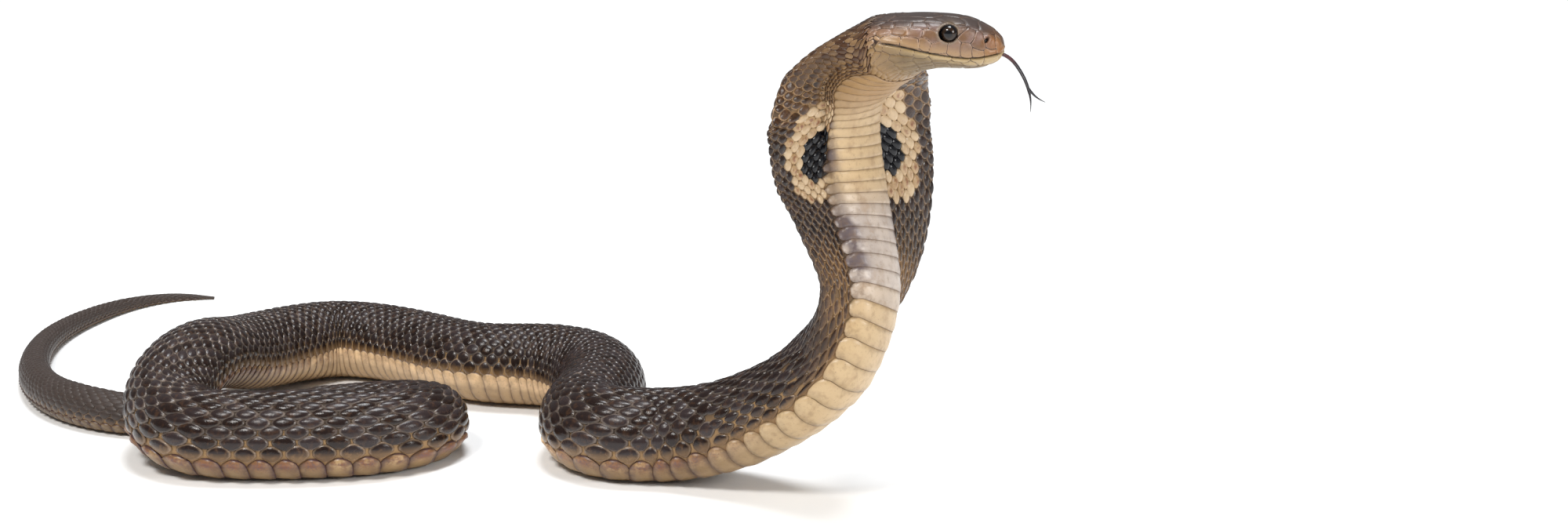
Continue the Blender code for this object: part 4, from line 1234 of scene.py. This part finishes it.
def on_crown(behind, side):
    width, top, _, _ = SNAKE.sizes_of_head(behind)
    return side, top * max(1 - abs(side / width) ** HEAD_ROUNDNESS[0], 0) ** (1 / HEAD_ROUNDNESS[0])


def under_chin(behind, side):
    width, _, bottom, _ = SNAKE.sizes_of_head(behind)
    return side, bottom * max(1 - abs(side / width) ** HEAD_ROUNDNESS[1], 0) ** (1 / HEAD_ROUNDNESS[1])


def shield_lines():
    """Every head shield: the two ends of its line, and whether it is a crown, flank, lip or jaw shield."""
    found = []

    def add(ends, place, kind, both=True):
        for mirror in ((1, -1) if both else (1,)):
            line = []
            for behind, value in ends:
                side, up = place(behind * MM, value * MM)
                line.append(head_point(behind * MM, side * mirror, up))
            found.append((np.array(line[0]), np.array(line[1]), kind))

    for ends in FLANK_SHIELDS:
        add(ends, on_flank, "flank")
    for ends in LIP_SHIELDS:
        add(ends, on_flank, "lip")
    for ends in CROWN_SHIELDS:
        add(ends, on_crown, "crown", both=ends[0][1] > 0)
    for ends in JAW_SHIELDS:
        below = [(behind, SNAKE.sizes_of_head(behind * MM)[3] / MM + drop) for behind, drop in ends]
        add(below, on_flank, "jaw")
    for ends in CHIN_SHIELDS:
        add(ends, under_chin, "jaw")
    for behind, around in small_scales():
        for mirror in (1, -1):
            at = SNAKE.length - np.array([behind + 2.0, behind - 1.7]) * MM
            line = SNAKE.bare_point(at, mirror * np.array([around + 0.02, around - 0.02]))
            found.append((line[0], line[1], "jaw" if around > 1.1 else "flank"))
    add(((0.6, 0.0), (1.6, 0.0)), on_crown, "flank", both=False)
    add(((0.8, 0.0), (2.6, 0.0)), under_chin, "jaw", both=False)
    return found


def nearest_shields(points, lines):
    """For each point: its shield's number and how much nearer it is than the next shield."""
    best = np.full(len(points), 1.0)
    second = np.full(len(points), 1.0)
    owner = np.zeros(len(points), int)
    for number, (start, end, _) in enumerate(lines):
        run = end - start
        share = np.clip(((points - start) @ run) / max(run @ run, 1e-12), 0, 1)
        distance = np.linalg.norm(points - start - share[:, None] * run, axis=1)
        nearer = distance < best
        second = np.where(nearer, best, np.minimum(second, distance))
        owner = np.where(nearer, number, owner)
        best = np.where(nearer, distance, best)
    return owner, second - best


SEAM_HALF_WIDTH = 0.36 * MM
SEAM_DEPTH = 0.34 * MM
SHIELD_DOME = (0.14 * MM, 0.3 * MM, 1.8 * MM)  # a shield's fall to its seams, and between which gaps
SHIELD_LAY = 0.05 * MM  # how deep the shields lie in the head's outline
MOUTH_GROOVE = (0.34 * MM, 0.9 * MM)  # spread and depth
LIP_SWELL = (1.2 * MM, 0.6 * MM, 0.22 * MM)  # from the mouth, spread and height
FLANK_FROM = 6.0 * MM  # to the side
SOCKET = (2.75 * MM, 3.35 * MM, 2.6 * MM)  # radii where it is deepest and where it starts, and depth
SOCKET_RIM = (3.62 * MM, 0.36 * MM, 0.35 * MM)  # radius, spread and height
NOSTRIL = (0.55 * MM, 1.15 * MM, 1.5 * MM)
NOSTRIL_RIM = (1.5 * MM, 0.5 * MM, 0.25 * MM)
TONGUE_NOTCH = (1.2 * MM, 1.0 * MM, 2.2 * MM, 0.8 * MM, 0.9 * MM)  # place, spread, side, height, depth
HOLLOW = (19.4 * MM, 9.0 * MM)  # the dip over the eye that carries painted shadow: its place behind the snout and over the axis
HOLLOW_SIZES = (3.2, 0.75 * MM, 0.55 * MM)  # length to height, spread and depth


def dress_head(at, around, points):
    """The head's own relief and its colour weights, at points of the bare surface."""
    behind = SNAKE.length - at
    on_head = 1 - smooth_step(HEAD_LENGTH - 1 * MM, HEAD_LENGTH + 4 * MM, behind)
    lines = shield_lines()
    owner, gap = nearest_shields(points, lines)
    above = np.abs(around) < 1
    seam = 1 - smooth_step(0, 2 * SEAM_HALF_WIDTH, gap)
    fall, low_gap, high_gap = SHIELD_DOME
    out = -SEAM_DEPTH * seam ** 1.6 - fall * (1 - smooth_step(low_gap, high_gap, gap)) - SHIELD_LAY
    to_mouth = (np.abs(around) - 1) * SNAKE.girth(at)
    open_mouth = 1 - smooth_step(MOUTH_CORNER - 1 * MM, MOUTH_CORNER + 2 * MM, behind)
    spread, depth = MOUTH_GROOVE
    groove = bell(to_mouth, 0, spread) * open_mouth * smooth_step(0.2 * MM, 1.5 * MM, behind)
    out = out - depth * groove
    middle, spread, height = LIP_SWELL
    out = out + height * bell(np.abs(to_mouth), middle, spread) * open_mouth
    centre, _, back, right = SNAKE.frame(at)
    offset = points - centre
    up = (offset * back).sum(-1)
    side = np.abs((offset * right).sum(-1))
    flank = side > FLANK_FROM

    to_eye = np.hypot(behind - EYE_PLACE[0], up - EYE_PLACE[2])
    inner, outer, depth = SOCKET
    sink = (1 - smooth_step(inner, outer, to_eye)) * flank
    middle, spread, height = SOCKET_RIM
    rim = bell(to_eye, middle, spread) * flank
    out = out * (1 - sink) * (1 - 0.8 * rim) - depth * sink + height * rim

    nose_behind, nose_up = NOSTRIL_PLACE
    slant = (behind - nose_behind) + 0.25 * (up - nose_up)
    to_nostril = np.hypot(slant / 0.75, (up - nose_up) / 1.15)
    inner, outer, depth = NOSTRIL
    # The nostril's pit, which is also painted black as shade.
    pit = (1 - smooth_step(inner, outer, to_nostril)) * flank * above
    middle, spread, height = NOSTRIL_RIM
    out = out - depth * pit + height * bell(to_nostril, middle, spread) * flank

    middle, spread, reach, height, depth = TONGUE_NOTCH
    notch = bell(behind, middle, spread) * (side < reach) * bell(to_mouth, 0, height)
    out = out - depth * notch
    # The dip over the eye; the head shader darkens it with painted shadow.
    length, spread, depth = HOLLOW_SIZES
    to_hollow = np.hypot((behind - HOLLOW[0]) / length, up - HOLLOW[1] - 0.12 * (behind - HOLLOW[0]))
    shadowed_hollow = bell(to_hollow, 0, spread) * flank * above
    out = out - depth * shadowed_hollow

    tones = np.random.default_rng(7).uniform(0, 1, owner.max() + 1)
    lips = np.array([kind == "lip" for _, _, kind in lines])
    top = SNAKE.sizes_of_head(np.clip(behind, 0, HEAD_PROFILE[-1][0] * MM))[1]
    crown = smooth_step(0.55, 0.9, up / np.maximum(top, 1 * MM)) * above
    lip = (1 - smooth_step(1.2 * MM, 4.6 * MM, np.abs(to_mouth))) * above * 0.8 + 0.3 * lips[owner] * above
    jaw = smooth_step(-0.2 * MM, 0.3 * MM, to_mouth)
    weights = {
        "seam": seam * (1 - sink), "tone": tones[owner], "crown": crown, "lip": np.clip(lip, 0, 1),
        "nose": (1 - smooth_step(2 * MM, 10 * MM, behind)) * (1 - 0.7 * crown), "jaw": jaw,
        "throat": jaw * smooth_step(30 * MM, 46 * MM, behind), "shadowed_hollow": shadowed_hollow,
        "olive": jaw * smooth_step(1.5 * MM, 7.0 * MM, to_mouth + 0.25 * behind - 5 * MM),
        "cheek": smooth_step(26 * MM, 38 * MM, behind) * above * (1 - crown),
        "eye_rim": bell(to_eye, 3.6 * MM, 0.5 * MM) * flank,
        "seam_dark": 1 - jaw * (0.30 + 0.45 * smooth_step(3.5 * MM, 6.0 * MM, to_mouth)),
        # Painted shade, black, in the nostril pits, the mouth groove, the eye sockets and the tongue notch.
        "pit": np.clip(pit + groove * 0.95 + sink + notch, 0, 1),
    }
    return out * on_head, {name: np.asarray(value, float) for name, value in weights.items()}


TAIL_RINGS = (0.05, 0.4, 1.2, 2.6)  # the first rings, in millimetres from the tail tip
SKIN_RINGS = ((38.0, 5.2 * MM, 80), (44.9, 1.9 * MM, 160))  # up to a station: step and points to a ring
HEAD_STEP = 0.26 * MM
HEAD_SIDES = 320
SNOUT_RINGS = (1.4, 1.15, 0.92, 0.72, 0.54, 0.40, 0.28, 0.19, 0.12, 0.07, 0.03, 0.008)  # the last ones


def skin_rings():
    """Places of the skin's rings from the tail tip, each with its number of points."""
    rings = [(place * MM, SKIN_RINGS[0][2]) for place in TAIL_RINGS]
    at = 5 * MM
    for end, step, count in SKIN_RINGS:
        stop = SNAKE.place_of(end)
        while at < stop:
            rings.append((at, count))
            at += step
    stop = SNAKE.length - SNOUT_RINGS[0] * MM
    while at < stop:
        rings.append((at, HEAD_SIDES))
        at += HEAD_STEP
    return rings + [(SNAKE.length - behind * MM, HEAD_SIDES) for behind in SNOUT_RINGS]


def make_skin(under_material, head_material):
    """One closed skin from the tail tip to the snout."""
    rings = skin_rings()
    at = np.concatenate([np.full(count, place) for place, count in rings])
    around = np.concatenate([np.linspace(-2, 2, count, endpoint=False) for _, count in rings])
    bare = SNAKE.bare_point(at, around)
    relief, weights = dress_head(at, around, bare)
    points = SNAKE.point(at, around, relief - inset(at, around))
    starts = np.concatenate([[0], np.cumsum([count for _, count in rings])])
    faces = []
    for k, ((_, low), (_, high)) in enumerate(zip(rings, rings[1:])):
        a, b = starts[k], starts[k + 1]
        for i in range(low):
            j = (i + 1) % low
            if high == low:
                faces.append((a + i, a + j, b + j, b + i))
            else:
                faces.append((a + i, b + 2 * i + 1, b + 2 * i))
                faces.append((a + i, a + j, b + 2 * i + 1))
                faces.append((a + j, b + (2 * i + 2) % high, b + 2 * i + 1))
    tail = [int(i) for i in range(starts[1])][::-1]
    snout = list(range(starts[-2], starts[-1]))
    faces += [tuple(tail), tuple(snout)]
    mesh = bpy.data.meshes.new("cobra_skin")
    mesh.from_pydata(points.tolist(), [], [tuple(int(v) for v in face) for face in faces])
    mesh.update()
    everything = {**markings(at, around), **weights}
    for label, values in everything.items():
        store(mesh, label, values)
    mesh.materials.append(under_material)
    mesh.materials.append(head_material)
    corners = corner_vertices(mesh)
    counts = np.empty(len(mesh.polygons), np.int64)
    mesh.polygons.foreach_get("loop_total", counts)
    face_of = np.repeat(np.arange(len(counts)), counts)
    face_at = np.zeros(len(counts))
    np.add.at(face_at, face_of, at[corners])
    face_at /= counts
    on_head = (SNAKE.length - face_at) < HEAD_LENGTH - 1 * MM
    mesh.polygons.foreach_set("material_index", on_head.astype(np.int32))
    turn = around[corners]
    widest = np.full(len(counts), -9.0)
    np.maximum.at(widest, face_of, turn)
    turn = np.where((widest[face_of] > 1.5) & (turn < -1.9), turn + 4, turn)
    u, v = unwrapped(at[corners], turn, strip_of(face_at)[face_of])
    set_bake_map(mesh, np.stack([u, v], axis=1))
    flesh = [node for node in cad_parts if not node.startswith(("eye_", "tongue"))]
    return add_piece("cobra_skin", mesh, "body_skin", *flesh)


def ball(name, radius, segments=48, rings=32):
    """A ball round the origin, with its faces in the same order each time."""
    work = bmesh.new()
    bmesh.ops.create_uvsphere(work, u_segments=segments, v_segments=rings, radius=radius)
    work.verts.index_update()
    faces = []
    for face in work.faces:
        corners = [vert.index for vert in face.verts]
        first = corners.index(min(corners))
        faces.append(corners[first:] + corners[:first])
    data = bpy.data.meshes.new(name)
    data.from_pydata([tuple(vert.co) for vert in work.verts], [], sorted(faces))
    work.free()
    return data


def make_eye(word, mirror, material):
    """An eyeball with a ring of lighter iris round its pupil."""
    behind, side, up = EYE_PLACE
    centre = head_point(behind, side * mirror, up)
    right = SNAKE.frame(SNAKE.length - behind)[3]
    data = ball("eye", EYE_RADIUS)
    points = read_points(data)
    way = right * mirror
    from_middle = np.degrees(np.arccos(np.clip(points @ way / EYE_RADIUS, -1, 1)))
    store(data, "iris", smooth_step(24, 28, from_middle) * (1 - smooth_step(46, 54, from_middle)))
    points = points + centre
    data.vertices.foreach_set("co", points.astype(np.float32).ravel())
    data.materials.append(material)
    return add_piece("cobra_eye_" + word, data, "eye", "eye_" + word)


TONGUE_STEM = [(-6.0, 0.0, -2.2), (-2.0, 0.0, -1.8), (2.2, 0.0, -3.2), (6.0, 0.0, -6.8),
               (9.2, 0.0, -11.6), (10.9, 0.0, -15.4)]
TONGUE_TINES = [[(10.4, 0.5, -14.0), (11.5, 1.7, -16.8), (12.1, 3.3, -19.4), (12.4, 4.7, -21.6)],
                [(10.4, -0.5, -14.0), (12.6, -1.9, -16.4), (14.8, -4.3, -18.2), (16.6, -6.9, -19.4)]]
TONGUE_SIZES = ((1.7, 0.75), (1.45, 0.62), (0.12, 0.10))  # half width and thickness: root, fork, tips


def tube(path, sizes, sides=24, steps=48, groove=0.0):
    """Points and faces of a flat tapered tube through points of the head's frame."""
    snout, forward, back, right = SNAKE.frame(SNAKE.length)
    path = np.array(path, float) * MM
    points = snout + path[:, :1] * forward + path[:, 1:2] * right + path[:, 2:] * back
    chords = np.concatenate([[0], np.cumsum(np.linalg.norm(np.diff(points, axis=0), axis=1))])
    places = np.linspace(0, chords[-1], steps)
    centres = natural_spline(chords, points)(places)
    ways = np.gradient(centres, places, axis=0)
    ways /= np.linalg.norm(ways, axis=1)[:, None]
    across = right - (ways @ right)[:, None] * ways
    across /= np.linalg.norm(across, axis=1)[:, None]
    through = np.cross(ways, across)
    share = (places / chords[-1])[:, None]
    size = (np.array(sizes[0]) * (1 - share) + np.array(sizes[1]) * share) * MM
    turns = np.arange(sides) * 2 * math.pi / sides
    dent = 1 - groove * bell(np.cos(turns), 0, 0.35)
    ring = (centres[:, None] + (np.cos(turns) * size[:, :1])[..., None] * across[:, None]
            + (np.sin(turns) * dent * size[:, 1:])[..., None] * through[:, None])
    points = ring.reshape(-1, 3)
    faces = []
    for k in range(steps - 1):
        for i in range(sides):
            j = (i + 1) % sides
            faces.append((k * sides + i, k * sides + j, (k + 1) * sides + j, (k + 1) * sides + i))
    faces.append(tuple(range(sides))[::-1])
    faces.append(tuple(range((steps - 1) * sides, steps * sides)))
    return points, faces


def make_tongue(material):
    """The forked tongue: a stem with a groove along it and two fine tines, as one mesh."""
    root, fork, tip = TONGUE_SIZES
    parts = [tube(TONGUE_STEM, (root, fork), groove=0.35)]
    parts += [tube(path, ((fork[0] * 0.55, fork[1] * 0.9), tip), sides=16) for path in TONGUE_TINES]
    work = bmesh.new()
    for points, faces in parts:
        verts = [work.verts.new(point) for point in points]
        for face in faces:
            work.faces.new([verts[i] for i in face])
    data = finished(work, "tongue")
    points = read_points(data)
    snout = SNAKE.frame(SNAKE.length)[0]
    store(data, "root", 1 - smooth_step(2 * MM, 9 * MM, np.linalg.norm(points - snout, axis=1)))
    data.materials.append(material)
    return add_piece("cobra_tongue", data, "tongue", "tongue")


# Back scales: half length and half width in cells, roundness, height, tilt and edge.
SCALE_SHAPES = {
    "bead": ((0.54, 0.79), 1.72, 0.22, 0.05, 0.03), "brick": ((0.53, 0.79), 1.75, 0.19, 0.05, 0.03),
    "narrow": ((0.54, 0.70), 1.62, 0.22, 0.05, 0.03), "slim": ((0.60, 0.66), 1.55, 0.22, 0.10, 0.03),
    "fine": ((0.53, 0.78), 1.66, 0.15, 0.07, 0.03),
}
SCUTE_SHAPES = {"lobed": (11.0, 0.03, 0.16), "even": (30.0, 0.22, 0.03)}  # squareness, lean and swell


def make_scales():
    """The back's scales and the belly's scutes, in pieces by stretch."""
    back = back_scale_shader()
    belly = belly_scute_shader()
    shapes = {name: scale_shape(*sizes) for name, sizes in SCALE_SHAPES.items()}
    shapes.update({name: scute_shape(*sizes) for name, sizes in SCUTE_SHAPES.items()})
    start = BACK_START
    for number, (end, rows, finer, shape, slot) in enumerate(BACK_STRETCHES):
        name = f"back_scales_{number + 1}"
        back_scales(name, start, min(end, BACK_END), rows, finer, number + 11, back, slot, shapes[shape])
        start = end
    last = float(SNAKE.station(SNAKE.length - LAST_SCUTE))
    for number, (start, end, shape, slot) in enumerate(BELLY_STRETCHES):
        name = f"belly_scutes_{number + 1}"
        belly_scutes(name, start, end or last, number + 31, belly, slot, shapes[shape])


# Floor, light and camera

FLOOR_SIDE = 14.0
CAMERA_PLACE = (0.1341, -1.0800, 0.3129)
CAMERA_PITCH = 77.0  # degrees from straight down
LENS = 56.25  # millimetres on a sensor 36 wide

# Lamps: place, point they face, size, power and colour.
LAMPS = {
    "key": ((-0.55, -1.0, 1.5), (0.0, 0.0, 0.05), (0.5, 0.36), 24, (1.0, 0.98, 0.95)),
    "side": ((1.3, -0.9, 0.7), (0.15, -0.1, 0.1), (0.35, 0.45), 11, (1.0, 0.99, 0.97)),
}
SKY_WAY = (0.1, 0.14, 1.0)
SKY_POWER = 2.8
SKY_ANGLE = 26  # degrees across
SKY_COLOUR = (0.95, 0.975, 1.0)
WORLD_COLOUR = (0.95, 0.97, 1.0, 1)
WORLD_STRENGTH = 0.22


def add_lamp(name, kind, power, colour, way):
    """A lamp that shines against the given way."""
    light = bpy.data.lights.new(name, kind)
    light.energy = power
    light.color = colour
    lamp = bpy.data.objects.new(name, light)
    lamp.rotation_euler = Vector(way).to_track_quat("Z", "Y").to_euler()
    bpy.context.scene.collection.objects.link(lamp)
    return lamp


def make_studio():
    """A wide pale floor under soft lamps."""
    mesh = bmesh.new()
    bmesh.ops.create_grid(mesh, x_segments=1, y_segments=1, size=FLOOR_SIDE / 2)
    data = bpy.data.meshes.new("floor")
    mesh.to_mesh(data)
    mesh.free()
    shader = Shader("pale_floor", Roughness=0.7)
    grain = shader.noise(4.0)
    shader.set("Base Color", shader.mix(FLOOR_PALE, FLOOR_PALER, grain))
    data.materials.append(shader.material)
    floor = bpy.data.objects.new("floor", data)
    bpy.context.scene.collection.objects.link(floor)
    for name, (place, target, size, power, colour) in LAMPS.items():
        lamp = add_lamp(name, "AREA", power, colour, Vector(place) - Vector(target))
        lamp.location = place
        lamp.data.shape = "RECTANGLE"
        lamp.data.size, lamp.data.size_y = size
    add_lamp("sky", "SUN", SKY_POWER, SKY_COLOUR, SKY_WAY).data.angle = math.radians(SKY_ANGLE)
    bpy.context.scene.view_settings.view_transform = "Standard"
    world = bpy.data.worlds.new("studio")
    world.use_nodes = True
    background = world.node_tree.nodes["Background"]
    background.inputs["Color"].default_value = WORLD_COLOUR
    background.inputs["Strength"].default_value = WORLD_STRENGTH
    bpy.context.scene.world = world


def make_camera():
    data = bpy.data.cameras.new("camera")
    data.lens = LENS
    data.sensor_width = 36.0
    camera = bpy.data.objects.new("camera", data)
    camera.location = CAMERA_PLACE
    camera.rotation_euler = (math.radians(CAMERA_PITCH), 0, 0)
    bpy.context.scene.collection.objects.link(camera)
    bpy.context.scene.camera = camera


make_skin(bare_skin_shader(), head_shader())
make_scales()
EYE = eye_shader()
make_eye("right", 1, EYE)
make_eye("left", -1, EYE)
make_tongue(tongue_shader())
make_studio()
make_camera()
bpy.context.view_layer.update()
